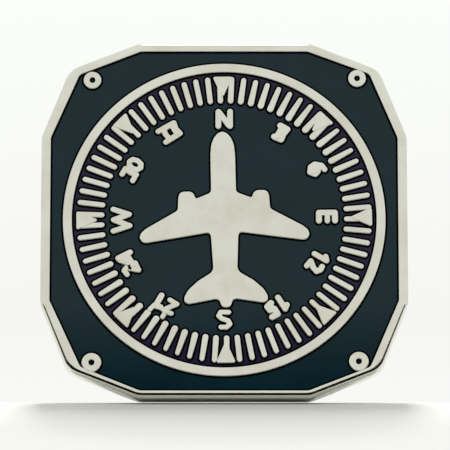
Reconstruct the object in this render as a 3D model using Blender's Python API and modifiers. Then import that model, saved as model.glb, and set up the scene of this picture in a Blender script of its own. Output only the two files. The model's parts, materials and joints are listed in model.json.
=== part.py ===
"""Lapel pin made as a heading indicator, with two posts and two butterfly clutches.

Run with: blender --background --python part.py

The pin is modelled lying face up and hung on one empty, which stands it up as it is worn: its face looks
along -Y, north is +Z, and the origin is the centre of the plate's back face. Sizes are in metres.
"""

import math

import bmesh
import bpy
from mathutils import Matrix, Vector

MM = 0.001

# Plate: a square with each corner cut by two facets
PLATE_WIDTH = 25.4 * MM
PLATE_THICKNESS = 1.5 * MM
RIM_WIDTH = 0.36 * MM
SIDE_DRAFT = 0.30 * MM
FACET_REACH = 6.23 * MM  # from the square's corner to where the facets start, along each side
CORNER_INSET = 1.77 * MM  # from the square's sides to the point where two facets meet
FIELD_CORNER_RADIUS = 0.5 * MM
RIM_CORNER_RADIUS = 1.6 * MM
RECESS_DEPTH = 0.45 * MM
ENAMEL_DROP = 0.12 * MM  # how far the enamel's surface lies below the bare metal
ENAMEL_CLEARANCE = 0.02 * MM
ROOT_DEPTH = 0.2 * MM  # how far raised metal is sunk into the floor of the recess to join it

# Dial
RING_GAP = 0.87 * MM
RING_WIDTH = 0.63 * MM
TICK_GAP = 0.30 * MM
TICK_LENGTH = 1.97 * MM
TICK_WIDTH = 0.40 * MM
TICK_COUNT = 74
FIRST_TICK = 3.4  # heading in degrees
TICK_DRIFT = 0.95  # degrees by which the hand-drawn ticks stray from an even spacing
DRIFT_PHASE = 22.0
WEDGE_COUNT = 8
WEDGE_TURN = -0.7
WEDGE_WIDTH = 1.42 * MM
WEDGE_LENGTH = 1.62 * MM
NUMERAL_GAP = 0.28 * MM
NUMERAL_HEIGHT = 1.40 * MM
AIRCRAFT_GAP = 0.24 * MM
AIRCRAFT_TURN = 1.3  # degrees anticlockwise from north, as the artwork has it

# Screw heads: their centres are measured in from the edges of the recess
SCREW_SIDE_INSET = 2.86 * MM
TOP_SCREW_INSET = 2.12 * MM
BOTTOM_SCREW_INSET = 1.96 * MM
TOP_SCREW_RADIUS = 0.62 * MM
BOTTOM_SCREW_RADIUS = 0.67 * MM
SCREW_DOT_RADIUS = 0.20 * MM

# Posts
POST_SPACING = 13.0 * MM
POST_LENGTH = 7.8 * MM
POST_RADIUS = 0.5 * MM
POST_GROOVE_DEPTH = 0.08 * MM
POST_POINT_LENGTH = 1.0 * MM
POST_TIP_RADIUS = 0.12 * MM
POST_TIP_HEIGHT = 0.08 * MM
GROOVE_SETBACK = 0.7 * MM  # from the start of the point to the middle of the groove
GROOVE_MOUTH_WIDTH = 0.50 * MM
GROOVE_FLOOR_WIDTH = 0.30 * MM
NECK_HEIGHT = 0.28 * MM  # the cone between a post's pad and its shank
NECK_SPREAD = 0.25 * MM
PAD_RADIUS = 1.6 * MM
PAD_THICKNESS = 0.28 * MM
PAD_CLEARANCE = 0.02 * MM
SOLDER_WIDTH = 0.40 * MM
SOLDER_CLEARANCE = 0.02 * MM
SOLDER_RISE = 0.8  # share of the pad's thickness that the solder climbs
SOLDER_BEND = (0.45, 0.3)  # where its hollow face bends: shares of its width and of the pad's thickness

# Clutches
CLOTH_GAP = 2.1 * MM
SHEET = 0.35 * MM
BASE_RADIUS = 5.6 * MM
BASE_RIM_HEIGHT = 1.05 * MM
BASE_EDGE_BEVEL = 0.245 * MM
BASE_HOLE_CLEARANCE = 0.12 * MM
DISH_CLEARANCE = 0.3 * MM  # from the solder's edge to the start of the dished middle
DISH_DEPTH = 0.08 * MM
HOUSING_LENGTH = 6.3 * MM
HOUSING_WIDTH = 5.0 * MM
HOUSING_HEIGHT = 2.9 * MM  # from the cloth face to the top of the housing
HOUSING_TOP_LENGTH = 3.7 * MM
HOUSING_HOLE_CLEARANCE = 0.25 * MM
SEAT_CLEARANCE = 0.02 * MM
PIVOT_OFFSET = 2.3 * MM
PIVOT_HEIGHT = 2.3 * MM
PIVOT_HOLE_RADIUS = 0.30 * MM
PIVOT_TAB = 0.32 * MM
JAW_CLEARANCE = 0.03 * MM
JAW_HEIGHT = 1.0 * MM
JAW_LIP_HEIGHT = 2.0 * MM
JAW_LIP_WIDTH = 1.1 * MM
LEVER_SIDE_CLEARANCE = 0.15 * MM
EAR_REACH = 2.45 * MM
EAR_RISE = 2.75 * MM
EAR_WIDTH = 5.2 * MM
EAR_TIP_WIDTH = 4.16 * MM
EAR_START = 0.35 * MM  # above the housing's top
SPRING_RADIUS = 1.40 * MM
SPRING_WIRE = 0.15 * MM
SPRING_CLEARANCE = 0.12 * MM
SPRING_MOUTH = 50.0  # degrees

# Fineness of round shapes
RIM_CORNER_STEPS = 3
FIELD_CORNER_STEPS = 2
TICK_END_STEPS = 2
STROKE_END_STEPS = 3
CIRCLE_STEPS = 72
SMALL_CIRCLE_STEPS = 16
TURNED_STEPS = 24
SPRING_POINTS = 25
SHARP_ANGLE = 35.0

# What follows from the sizes above
FIELD_HALF = PLATE_WIDTH / 2 - RIM_WIDTH - SIDE_DRAFT
RECESS_FLOOR = PLATE_THICKNESS - RECESS_DEPTH
ENAMEL_BOTTOM = RECESS_FLOOR + ENAMEL_CLEARANCE
ENAMEL_TOP = PLATE_THICKNESS - ENAMEL_DROP
RING_OUTER = FIELD_HALF - RING_GAP
RING_INNER = RING_OUTER - RING_WIDTH
TICK_OUTER = RING_INNER - TICK_GAP
TICK_INNER = TICK_OUTER - TICK_LENGTH
NUMERAL_CENTRE = TICK_INNER - NUMERAL_GAP - NUMERAL_HEIGHT / 2
AIRCRAFT_REACH = NUMERAL_CENTRE - NUMERAL_HEIGHT / 2 - AIRCRAFT_GAP
BASE_TOP = SHEET + SEAT_CLEARANCE

# Numerals as strokes: (half width, points). One unit is a twentieth of the numeral height, x runs
# clockwise and y outward, and (0, 0) is on the numerals' centre circle.
NUMERAL_UNITS = 20.0
NUMERALS = {
    0: (
        (3.0, ((-5.8, 5.7), (-5.8, -9.3))),
        (3.0, ((5.8, 5.9), (5.8, -9.3))),
        (3.0, ((-5.0, 5.0), (4.6, -8.6))),
    ),
    30: (
        (3.4, ((0.6, 6.4), (8.4, 6.4), (7.4, 0.2), (8.2, -5.6), (1.0, -6.4))),
        (3.6, ((3.6, 4.0), (3.6, -4.0))),
    ),
    60: (
        (3.0, ((6.0, 7.2), (1.0, 6.6), (-3.4, 1.6), (-3.0, -3.4), (1.4, -6.8), (5.8, -3.2), (4.4, 0.6))),
        (4.6, ((1.2, -2.6), (0.8, 2.4))),
    ),
    90: (
        (3.1, ((2.0, 5.4), (-6.3, 5.3), (-6.2, -10.5), (2.2, -10.5))),
        (2.8, ((-5.0, -2.2), (2.4, -2.2))),
    ),
    120: (
        (3.0, ((-16.6, 1.8), (-13.4, 4.6), (-13.6, -9.2))),
        (3.0, ((-6.0, 3.8), (-2.6, 4.2), (1.0, 1.4), (-0.4, -2.6), (-5.4, -8.6), (0.8, -9.6))),
    ),
    150: (
        (3.1, ((-9.6, 2.4), (-6.2, 5.2), (-5.8, -8.4))),
        (3.3, ((9.0, 6.0), (3.0, 6.4), (3.0, 0.0), (7.6, -1.2), (8.0, -5.4), (3.0, -6.9))),
        (3.0, ((4.0, 3.0), (4.6, -4.0))),
    ),
    180: (
        (2.7, ((3.2, 5.9), (-2.2, 6.1), (-5.6, 3.0), (-4.0, -0.4), (2.4, -2.6))),
        (2.7, ((2.4, -2.6), (5.4, -5.4), (3.4, -9.2), (-4.4, -9.1))),
    ),
    210: (
        (2.7, ((-3.0, 5.3), (2.0, 6.2), (3.6, 3.4), (-3.2, -5.6), (5.0, -5.9))),
        (3.1, ((9.4, 5.0), (14.4, 6.4), (14.4, -5.8))),
        (2.6, ((2.0, 6.2), (9.4, 5.6))),
        (2.6, ((2.6, 6.0), (2.6, 12.6))),
        (2.6, ((15.6, 6.0), (17.2, 12.2))),
    ),
    240: (
        (2.8, ((-1.4, 7.2), (3.4, 7.8), (5.2, 4.6), (-3.0, -5.0), (5.0, -5.6))),
        (3.0, ((4.4, -3.0), (15.4, 6.4), (17.4, 6.6), (16.8, -6.6))),
        (3.0, ((4.4, -3.0), (16.8, -2.4))),
        (3.0, ((12.0, 1.0), (15.0, 1.0))),
    ),
    270: ((2.9, ((-12.6, 5.4), (-7.2, -10.8), (-1.2, 5.2), (4.4, -10.2), (9.6, 5.6))),),
    300: (
        (2.9, ((-11.2, 6.2), (-4.6, 6.2), (-5.6, 0.0), (-4.6, -6.2), (-11.6, -6.3))),
        (3.0, ((-4.6, 0.0), (-1.4, 0.0))),
        (2.9, ((3.7, 6.3), (0.2, 4.6), (-1.0, 0.0), (0.2, -4.6), (3.7, -6.3))),
        (2.9, ((3.7, 6.3), (7.2, 4.6), (8.4, 0.0), (7.2, -4.6), (3.7, -6.3))),
    ),
    330: (
        (2.9, ((-12.0, 6.1), (-6.0, 6.1), (-7.4, 0.0), (-6.0, -7.0), (-11.0, -7.3))),
        (3.1, ((-6.0, 6.1), (5.6, 5.9), (4.2, 0.0), (5.6, -6.4), (-6.0, -7.0))),
        (3.4, ((3.2, 3.6), (3.2, -4.0))),
    ),
}

# Closed spaces inside numerals: heading, and a stroke that covers the space
COUNTERS = {
    "30": (300, 2.6, ((3.7, 3.0), (3.7, -3.0))),
    "33": (330, 3.0, ((-2.3, 1.2), (-2.3, -2.0))),
}

# Right half of the airliner from nose to tail: along and across, as shares of its half length
AIRCRAFT_HALF = (
    (0.000, 1.010),
    (0.055, 0.985),
    (0.100, 0.925),
    (0.132, 0.835),
    (0.146, 0.720),
    (0.146, 0.315),
    (0.165, 0.292),
    (0.310, 0.232),
    (0.330, 0.290),
    (0.365, 0.316),
    (0.465, 0.316),
    (0.500, 0.292),
    (0.512, 0.240),
    (0.516, 0.110),
    (0.540, 0.085),
    (0.860, -0.095),
    (0.915, -0.145),
    (0.928, -0.200),
    (0.900, -0.245),
    (0.860, -0.258),
    (0.175, -0.155),
    (0.150, -0.185),
    (0.132, -0.560),
    (0.160, -0.604),
    (0.300, -0.690),
    (0.410, -0.790),
    (0.455, -0.870),
    (0.455, -0.925),
    (0.410, -0.952),
    (0.110, -0.900),
    (0.072, -0.915),
    (0.055, -0.975),
    (0.028, -0.995),
)


def clear_scene():
    for old in list(bpy.data.objects):
        bpy.data.objects.remove(old, do_unlink=True)


def new_collection(name):
    collection = bpy.data.collections.new(name)
    bpy.context.scene.collection.children.link(collection)
    return collection


def new_material(name, colour, metallic, roughness):
    material = bpy.data.materials.new(name)
    material.use_nodes = True
    shader = material.node_tree.nodes["Principled BSDF"]
    shader.inputs["Base Color"].default_value = (*colour, 1.0)
    shader.inputs["Metallic"].default_value = metallic
    shader.inputs["Roughness"].default_value = roughness
    material.diffuse_color = (*colour, 1.0)
    return material


# Outlines: closed, anticlockwise lists of (x, y)


def grown(outline, distance):
    """The outline moved outward by distance, with its corners kept sharp."""
    moved = []
    for i, point in enumerate(outline):
        here = Vector(point)
        before = (here - Vector(outline[i - 1])).normalized()
        after = (Vector(outline[(i + 1) % len(outline)]) - here).normalized()
        normals = Vector((before.y, -before.x)), Vector((after.y, -after.x))
        middle = (normals[0] + normals[1]).normalized()
        moved.append(tuple(here + middle * (distance / middle.dot(normals[0]))))
    return moved


def rounded(outline, radius, steps):
    """The outline with each corner replaced by an arc of the same number of points."""
    points = []
    for i, point in enumerate(outline):
        here = Vector(point)
        before = (Vector(outline[i - 1]) - here).normalized()
        after = (Vector(outline[(i + 1) % len(outline)]) - here).normalized()
        half_turn = (math.pi - before.angle(after)) / 2
        start = here + before * (radius * math.tan(half_turn))
        end = here + after * (radius * math.tan(half_turn))
        centre = here + (before + after).normalized() * (radius / math.cos(half_turn))
        for step in range(steps + 1):
            share = step / steps
            spoke = (start - centre).lerp(end - centre, share).normalized()
            points.append(tuple(centre + spoke * radius))
    return points


def circle(centre, radius, steps):
    turn = 2 * math.pi / steps
    return [
        (centre[0] + radius * math.cos(turn * i), centre[1] + radius * math.sin(turn * i)) for i in range(steps)
    ]


def stadium(start, end, start_radius, end_radius, steps):
    """A straight stroke with round ends."""
    start, end = Vector(start), Vector(end)
    heading = math.atan2(end.y - start.y, end.x - start.x)
    points = []
    for centre, radius, first in ((end, end_radius, -math.pi / 2), (start, start_radius, math.pi / 2)):
        for step in range(steps + 1):
            angle = heading + first + math.pi * step / steps
            points.append((centre.x + radius * math.cos(angle), centre.y + radius * math.sin(angle)))
    return points


def around_dial(angle, radius, across=0.0):
    """The point at a heading in degrees clockwise from north, at a radius, and so far across it clockwise."""
    turn = math.radians(angle)
    return (
        radius * math.sin(turn) + across * math.cos(turn),
        radius * math.cos(turn) - across * math.sin(turn),
    )


# Solids


def mesh_from_curve(curve_object):
    """The curve's evaluated mesh in world space, with its caps welded; the curve is removed."""
    graph = bpy.context.evaluated_depsgraph_get()
    mesh = bpy.data.meshes.new_from_object(curve_object.evaluated_get(graph))
    mesh.transform(curve_object.matrix_world)
    welder = bmesh.new()
    welder.from_mesh(mesh)
    bmesh.ops.remove_doubles(welder, verts=welder.verts, dist=0.0005 * MM)
    bmesh.ops.recalc_face_normals(welder, faces=welder.faces)
    welder.to_mesh(mesh)
    welder.free()
    curve = curve_object.data
    bpy.data.objects.remove(curve_object, do_unlink=True)
    bpy.data.curves.remove(curve)
    return mesh


def flat_mesh(outlines, bottom, top):
    """A flat solid from bottom to top. The first outline is its edge and the others are holes."""
    curve = bpy.data.curves.new("outline", "CURVE")
    curve.dimensions = "2D"
    curve.fill_mode = "BOTH"
    curve.extrude = (top - bottom) / 2
    for outline in outlines:
        spline = curve.splines.new("POLY")
        spline.points.add(len(outline) - 1)
        for point, (x, y) in zip(spline.points, outline):
            point.co = (x, y, 0.0, 1.0)
        spline.use_cyclic_u = True
    curve_object = bpy.data.objects.new("outline", curve)
    bpy.context.scene.collection.objects.link(curve_object)
    curve_object.location.z = (top + bottom) / 2
    bpy.context.view_layer.update()
    return mesh_from_curve(curve_object)


def joined_mesh(name, meshes):
    """One mesh that holds all the given ones, which may run through each other."""
    collector = bmesh.new()
    for mesh in meshes:
        collector.from_mesh(mesh)
        bpy.data.meshes.remove(mesh)
    joined = bpy.data.meshes.new(name)
    collector.to_mesh(joined)
    collector.free()
    return joined


def box_mesh(low, high):
    shape = bmesh.new()
    bmesh.ops.create_cube(shape, size=1.0)
    size = Vector(high) - Vector(low)
    middle = (Vector(high) + Vector(low)) / 2
    bmesh.ops.transform(shape, matrix=Matrix.Translation(middle) @ Matrix.Diagonal((*size, 1.0)), verts=shape.verts)
    mesh = bpy.data.meshes.new("box")
    shape.to_mesh(mesh)
    shape.free()
    return mesh


def rod_mesh(centre, radius, length, along):
    """A round bar centred on a point, along Y or Z."""
    shape = bmesh.new()
    bmesh.ops.create_cone(
        shape, cap_ends=True, segments=SMALL_CIRCLE_STEPS, radius1=radius, radius2=radius, depth=length
    )
    turn = Matrix.Rotation(math.pi / 2, 4, "X") if along == "Y" else Matrix.Identity(4)
    bmesh.ops.transform(shape, matrix=Matrix.Translation(centre) @ turn, verts=shape.verts)
    mesh = bpy.data.meshes.new("rod")
    shape.to_mesh(mesh)
    shape.free()
    return mesh


def place(name, mesh, collection, parent=None, material=None, smooth=False):
    piece = bpy.data.objects.new(name, mesh)
    collection.objects.link(piece)
    piece.parent = parent
    if material:
        mesh.materials.clear()
        mesh.materials.append(material)
    if smooth:
        mesh.shade_smooth()
        mesh.set_sharp_from_angle(angle=math.radians(SHARP_ANGLE))
    return piece


def combine(piece, mesh, operation, cutters, parent=None):
    """Joins or cuts a piece with a mesh, whose solids may run through each other."""
    operand = place(f"{piece.name}_{operation.lower()}", mesh, cutters, parent)
    operand.hide_render = True
    operand.display_type = "WIRE"
    modifier = piece.modifiers.new(operation.title(), "BOOLEAN")
    modifier.operation = operation
    modifier.solver = "EXACT"
    modifier.use_self = True
    modifier.object = operand


def turned(name, profile, closed, collection, parent, material):
    """A turned piece. The profile is (radius, height) points, top to bottom on its outer side."""
    mesh = bpy.data.meshes.new(name)
    points = [(radius, 0.0, height) for radius, height in profile]
    edges = [(i, i + 1) for i in range(len(points) - 1)]
    if closed:
        edges.append((len(points) - 1, 0))
    mesh.from_pydata(points, edges, [])
    piece = place(name, mesh, collection, parent, material)
    screw = piece.modifiers.new("Screw", "SCREW")
    screw.axis = "Z"
    screw.steps = TURNED_STEPS
    screw.render_steps = TURNED_STEPS
    screw.use_smooth_shade = True
    screw.use_merge_vertices = True
    screw.merge_threshold = 0.001 * MM
    return piece


# The dial's raised metal, each shape drawn a little larger where it cuts the enamel


def field_corners():
    """One eighth after another, the points of the square with faceted corners, anticlockwise."""
    start = FIELD_HALF - FACET_REACH
    corner = FIELD_HALF - CORNER_INSET
    quarter = [(FIELD_HALF, start), (corner, corner), (start, FIELD_HALF)]
    points = []
    for turn in range(4):
        spin = Matrix.Rotation(math.pi / 2 * turn, 2)
        points += [tuple(spin @ Vector(point)) for point in quarter]
    return points


def tick_angle(index):
    even = FIRST_TICK + index * 360.0 / TICK_COUNT
    return even - TICK_DRIFT * math.sin(math.radians(even + DRIFT_PHASE))


def tick_outlines(grow):
    radius = TICK_WIDTH / 2
    for index in range(TICK_COUNT):
        angle = tick_angle(index)
        inner = around_dial(angle, TICK_INNER + radius)
        outer = around_dial(angle, TICK_OUTER - radius)
        yield stadium(outer, inner, radius + grow, radius + grow, TICK_END_STEPS)


def wedge_outlines(grow):
    for index in range(WEDGE_COUNT):
        angle = index * 360.0 / WEDGE_COUNT + WEDGE_TURN
        tip = around_dial(angle, TICK_OUTER - WEDGE_LENGTH)
        right = around_dial(angle, TICK_OUTER, WEDGE_WIDTH / 2)
        left = around_dial(angle, TICK_OUTER, -WEDGE_WIDTH / 2)
        yield grown([tip, right, left], grow)


def numeral_point(angle, point):
    unit = NUMERAL_HEIGHT / NUMERAL_UNITS
    return around_dial(angle, NUMERAL_CENTRE + point[1] * unit, point[0] * unit)


def stroke_outlines(angle, half_width, points, grow):
    radius = half_width * NUMERAL_HEIGHT / NUMERAL_UNITS + grow
    for start, end in zip(points, points[1:]):
        yield stadium(numeral_point(angle, start), numeral_point(angle, end), radius, radius, STROKE_END_STEPS)


def numeral_outlines(angle, grow):
    for half_width, points in NUMERALS[angle]:
        yield from stroke_outlines(angle, half_width, points, grow)


def counter_outline(name):
    angle, half_width, points = COUNTERS[name]
    return next(stroke_outlines(angle, half_width, points, 0.0))


def aircraft_outline(grow):
    left = [(-x, y) for x, y in AIRCRAFT_HALF[1:]]
    turn = Matrix.Rotation(math.radians(AIRCRAFT_TURN), 2) * AIRCRAFT_REACH
    return grown([tuple(turn @ Vector(point)) for point in left + list(AIRCRAFT_HALF[::-1])], grow)


def screw_places():
    """Name, centre and ring radius of each screw head."""
    side = FIELD_HALF - SCREW_SIDE_INSET
    top = FIELD_HALF - TOP_SCREW_INSET
    bottom = BOTTOM_SCREW_INSET - FIELD_HALF
    return (
        ("top_left", (-side, top), TOP_SCREW_RADIUS),
        ("top_right", (side, top), TOP_SCREW_RADIUS),
        ("bottom_left", (-side, bottom), BOTTOM_SCREW_RADIUS),
        ("bottom_right", (side, bottom), BOTTOM_SCREW_RADIUS),
    )


def dial_relief(bottom, top, grow):
    """Meshes of all that stands up inside the ring."""
    outlines = [*tick_outlines(grow), *wedge_outlines(grow), aircraft_outline(grow)]
    for angle in NUMERALS:
        outlines += numeral_outlines(angle, grow)
    return [flat_mesh([outline], bottom, top) for outline in outlines]


def make_pin_body(parts, cutters, frame, material):
    """The struck blank: a drafted plate, its recess, and the raised metal in it."""
    corners = field_corners()
    back = rounded(grown(corners, RIM_WIDTH + SIDE_DRAFT), RIM_CORNER_RADIUS, RIM_CORNER_STEPS)
    front = rounded(grown(corners, RIM_WIDTH), RIM_CORNER_RADIUS, RIM_CORNER_STEPS)
    plate = bmesh.new()
    face = plate.faces.new([plate.verts.new((x, y, 0.0)) for x, y in back])
    raised = bmesh.ops.extrude_face_region(plate, geom=[face])["geom"]
    edge = [vertex for vertex in raised if isinstance(vertex, bmesh.types.BMVert)]
    for vertex in edge:
        nearest = min(range(len(back)), key=lambda i: (Vector(back[i]) - vertex.co.xy).length)
        vertex.co = (*front[nearest], PLATE_THICKNESS)
    bmesh.ops.recalc_face_normals(plate, faces=plate.faces)
    mesh = bpy.data.meshes.new("pin_body")
    plate.to_mesh(mesh)
    plate.free()
    body = place("pin_body", mesh, parts, frame, material)

    above = PLATE_THICKNESS + ROOT_DEPTH
    recess = flat_mesh([rounded(corners, FIELD_CORNER_RADIUS, FIELD_CORNER_STEPS)], RECESS_FLOOR, above)
    combine(body, recess, "DIFFERENCE", cutters, frame)

    root = RECESS_FLOOR - ROOT_DEPTH
    relief = dial_relief(root, PLATE_THICKNESS, 0.0)
    ring = [circle((0, 0), RING_OUTER, CIRCLE_STEPS), circle((0, 0), RING_INNER, CIRCLE_STEPS)]
    relief.append(flat_mesh(ring, root, PLATE_THICKNESS))
    for _, centre, radius in screw_places():
        outlines = [
            circle(centre, radius, SMALL_CIRCLE_STEPS),
            circle(centre, SCREW_DOT_RADIUS, SMALL_CIRCLE_STEPS),
        ]
        relief.append(flat_mesh(outlines, root, PLATE_THICKNESS))
    combine(body, joined_mesh("relief", relief), "UNION", cutters, frame)
    return body


def make_enamel_dial(parts, cutters, frame, material):
    disc = flat_mesh([circle((0, 0), RING_INNER - ENAMEL_CLEARANCE, CIRCLE_STEPS)], ENAMEL_BOTTOM, ENAMEL_TOP)
    dial = place("enamel_dial", disc, parts, frame, material)
    bottom = RECESS_FLOOR - ROOT_DEPTH
    relief = dial_relief(bottom, PLATE_THICKNESS, ENAMEL_CLEARANCE)
    relief += [flat_mesh([counter_outline(name)], bottom, PLATE_THICKNESS) for name in COUNTERS]
    combine(dial, joined_mesh("dial_relief", relief), "DIFFERENCE", cutters, frame)


def make_enamel_field(parts, cutters, frame, material):
    edge = rounded(grown(field_corners(), -ENAMEL_CLEARANCE), FIELD_CORNER_RADIUS, FIELD_CORNER_STEPS)
    hole = circle((0, 0), RING_OUTER + ENAMEL_CLEARANCE, CIRCLE_STEPS)
    field = place("enamel_field", flat_mesh([edge, hole], ENAMEL_BOTTOM, ENAMEL_TOP), parts, frame, material)
    heads = [
        flat_mesh(
            [circle(centre, radius + ENAMEL_CLEARANCE, SMALL_CIRCLE_STEPS)],
            RECESS_FLOOR - ROOT_DEPTH,
            PLATE_THICKNESS,
        )
        for _, centre, radius in screw_places()
    ]
    combine(field, joined_mesh("screw_heads", heads), "DIFFERENCE", cutters, frame)


def make_enamel_dots(parts, frame, material):
    for name, centre, _ in screw_places():
        outline = circle(centre, SCREW_DOT_RADIUS - ENAMEL_CLEARANCE, SMALL_CIRCLE_STEPS)
        place(f"enamel_dot_{name}", flat_mesh([outline], ENAMEL_BOTTOM, ENAMEL_TOP), parts, frame, material)


def make_enamel_counters(parts, cutters, frame, material):
    """The enamel inside the closed figures."""
    for name, (angle, _, _) in COUNTERS.items():
        mesh = flat_mesh([counter_outline(name)], ENAMEL_BOTTOM, ENAMEL_TOP)
        counter = place(f"enamel_counter_{name}", mesh, parts, frame, material)
        figure = [
            flat_mesh([outline], RECESS_FLOOR - ROOT_DEPTH, PLATE_THICKNESS)
            for outline in numeral_outlines(angle, ENAMEL_CLEARANCE)
        ]
        combine(counter, joined_mesh(f"figure_{name}", figure), "DIFFERENCE", cutters, frame)


def make_post(side, offset, parts, frame, materials):
    """A nail with a pad, pointing back from the plate, and the solder round its pad."""
    stand = bpy.data.objects.new(f"post_{side}_frame", None)
    parts.objects.link(stand)
    stand.parent = frame
    stand.location = (offset, 0.0, 0.0)
    stand.rotation_euler.x = math.pi
    bottom = PAD_CLEARANCE
    pad_top = bottom + PAD_THICKNESS
    shoulder = POST_LENGTH - POST_POINT_LENGTH
    groove = shoulder - GROOVE_SETBACK
    half_mouth = GROOVE_MOUTH_WIDTH / 2
    half_floor = GROOVE_FLOOR_WIDTH / 2
    profile = [
        (0.0, POST_LENGTH),
        (POST_TIP_RADIUS, POST_LENGTH - POST_TIP_HEIGHT),
        (POST_RADIUS, shoulder),
        (POST_RADIUS, groove + half_mouth),
        (POST_RADIUS - POST_GROOVE_DEPTH, groove + half_floor),
        (POST_RADIUS - POST_GROOVE_DEPTH, groove - half_floor),
        (POST_RADIUS, groove - half_mouth),
        (POST_RADIUS, pad_top + NECK_HEIGHT),
        (POST_RADIUS + NECK_SPREAD, pad_top),
        (PAD_RADIUS, pad_top),
        (PAD_RADIUS, bottom),
        (0.0, bottom),
    ]
    turned(f"post_{side}", profile, False, parts, stand, materials["steel"])
    inner = PAD_RADIUS + SOLDER_CLEARANCE
    solder = [
        (inner, bottom + PAD_THICKNESS * SOLDER_RISE),
        (inner + SOLDER_WIDTH * SOLDER_BEND[0], bottom + PAD_THICKNESS * SOLDER_BEND[1]),
        (inner + SOLDER_WIDTH, bottom),
        (inner, bottom),
    ]
    turned(f"solder_{side}", solder, True, parts, stand, materials["solder"])


def base_profile():
    """The clutch's base disc: flat to the cloth, dished at its middle, with a rim turned away from the cloth."""
    hole = POST_RADIUS + BASE_HOLE_CLEARANCE
    dish = PAD_RADIUS + SOLDER_CLEARANCE + SOLDER_WIDTH + DISH_CLEARANCE
    return [
        (BASE_RADIUS - SHEET, BASE_RIM_HEIGHT),
        (BASE_RADIUS, BASE_RIM_HEIGHT),
        (BASE_RADIUS, BASE_EDGE_BEVEL),
        (BASE_RADIUS - BASE_EDGE_BEVEL, 0.0),
        (dish, 0.0),
        (dish - DISH_DEPTH, DISH_DEPTH),
        (hole, DISH_DEPTH),
        (hole, SHEET),
        (BASE_RADIUS - SHEET, SHEET),
    ]


def make_housing(name, parts, cutters, frame, material):
    """A bridge over the jaws: a top plate with the post's hole, and two walls that hold the wing tabs."""
    half_width = HOUSING_WIDTH / 2
    half_length = HOUSING_LENGTH / 2
    half_top = HOUSING_TOP_LENGTH / 2
    walls = []
    for near, far in ((-half_width, SHEET - half_width), (half_width - SHEET, half_width)):
        walls.append(box_mesh((-half_length, near, BASE_TOP), (half_length, far, HOUSING_HEIGHT)))
    top = box_mesh((-half_top, -half_width, HOUSING_HEIGHT - SHEET), (half_top, half_width, HOUSING_HEIGHT))
    housing = place(name, top, parts, frame, material)
    combine(housing, joined_mesh("walls", walls), "UNION", cutters, frame)
    hole_radius = POST_RADIUS + HOUSING_HOLE_CLEARANCE
    holes = [rod_mesh((0, 0, HOUSING_HEIGHT), hole_radius, 4 * SHEET, "Z")]
    for side in (-1, 1):
        holes.append(
            rod_mesh((side * PIVOT_OFFSET, 0, PIVOT_HEIGHT), PIVOT_HOLE_RADIUS, HOUSING_WIDTH + SHEET, "Y")
        )
    combine(housing, joined_mesh("holes", holes), "DIFFERENCE", cutters, frame)


def lever_mesh(cutters):
    """One wing of a clutch, about its pivot: jaw with its lip, upright with two tabs, and ear."""
    half_inside = HOUSING_WIDTH / 2 - SHEET - LEVER_SIDE_CLEARANCE
    jaw_end = POST_RADIUS + JAW_CLEARANCE - PIVOT_OFFSET
    jaw_bottom = JAW_HEIGHT - PIVOT_HEIGHT
    ear_bottom = HOUSING_HEIGHT + EAR_START - PIVOT_HEIGHT
    half_sheet = SHEET / 2
    jaw = box_mesh((jaw_end, -half_inside, jaw_bottom), (half_sheet, half_inside, jaw_bottom + SHEET))
    upright = box_mesh((-half_sheet, -half_inside, jaw_bottom), (half_sheet, half_inside, ear_bottom))
    lip_top = JAW_LIP_HEIGHT - PIVOT_HEIGHT
    lip = box_mesh((jaw_end, -JAW_LIP_WIDTH / 2, jaw_bottom), (jaw_end + SHEET, JAW_LIP_WIDTH / 2, lip_top))
    tab_reach = HOUSING_WIDTH / 2 - SHEET / 4
    half_tab = PIVOT_TAB / 2
    tabs = box_mesh((-half_tab, -tab_reach, -half_tab), (half_tab, tab_reach, half_tab))

    ear_length = math.hypot(EAR_REACH, EAR_RISE)
    half_ear = EAR_WIDTH / 2
    half_tip = EAR_TIP_WIDTH / 2
    shoulder = half_ear - half_inside
    ear_corners = [
        (-half_sheet, -half_inside),
        (shoulder, -half_ear),
        (ear_length, -half_tip),
        (ear_length, half_tip),
        (shoulder, half_ear),
        (-half_sheet, half_inside),
    ]
    ear = flat_mesh([ear_corners], -half_sheet, half_sheet)
    lean = Matrix.Rotation(-math.atan2(EAR_RISE, EAR_REACH), 4, "Y")
    ear.transform(Matrix.Translation((0.0, 0.0, ear_bottom)) @ lean)

    piece = place("lever", jaw, cutters)
    combine(piece, joined_mesh("lever_parts", [upright, lip, tabs, ear]), "UNION", cutters)
    bpy.context.view_layer.update()
    graph = bpy.context.evaluated_depsgraph_get()
    mesh = bpy.data.meshes.new_from_object(piece.evaluated_get(graph))
    bpy.data.objects.remove(bpy.data.objects["lever_union"], do_unlink=True)
    bpy.data.objects.remove(piece, do_unlink=True)
    return mesh


def spring_mesh():
    """A wire ring with a mouth, that lies on the jaws round their lips."""
    curve = bpy.data.curves.new("spring", "CURVE")
    curve.dimensions = "3D"
    curve.bevel_depth = SPRING_WIRE
    curve.bevel_resolution = 1
    curve.use_fill_caps = True
    spline = curve.splines.new("POLY")
    last = SPRING_POINTS - 1
    spline.points.add(last)
    height = JAW_HEIGHT + SHEET + SPRING_CLEARANCE + SPRING_WIRE
    for i, point in enumerate(spline.points):
        angle = math.radians(90 + SPRING_MOUTH / 2 + (360 - SPRING_MOUTH) * i / last)
        point.co = (SPRING_RADIUS * math.cos(angle), SPRING_RADIUS * math.sin(angle), height, 1.0)
    curve_object = bpy.data.objects.new("spring", curve)
    bpy.context.scene.collection.objects.link(curve_object)
    bpy.context.view_layer.update()
    return mesh_from_curve(curve_object)


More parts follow.
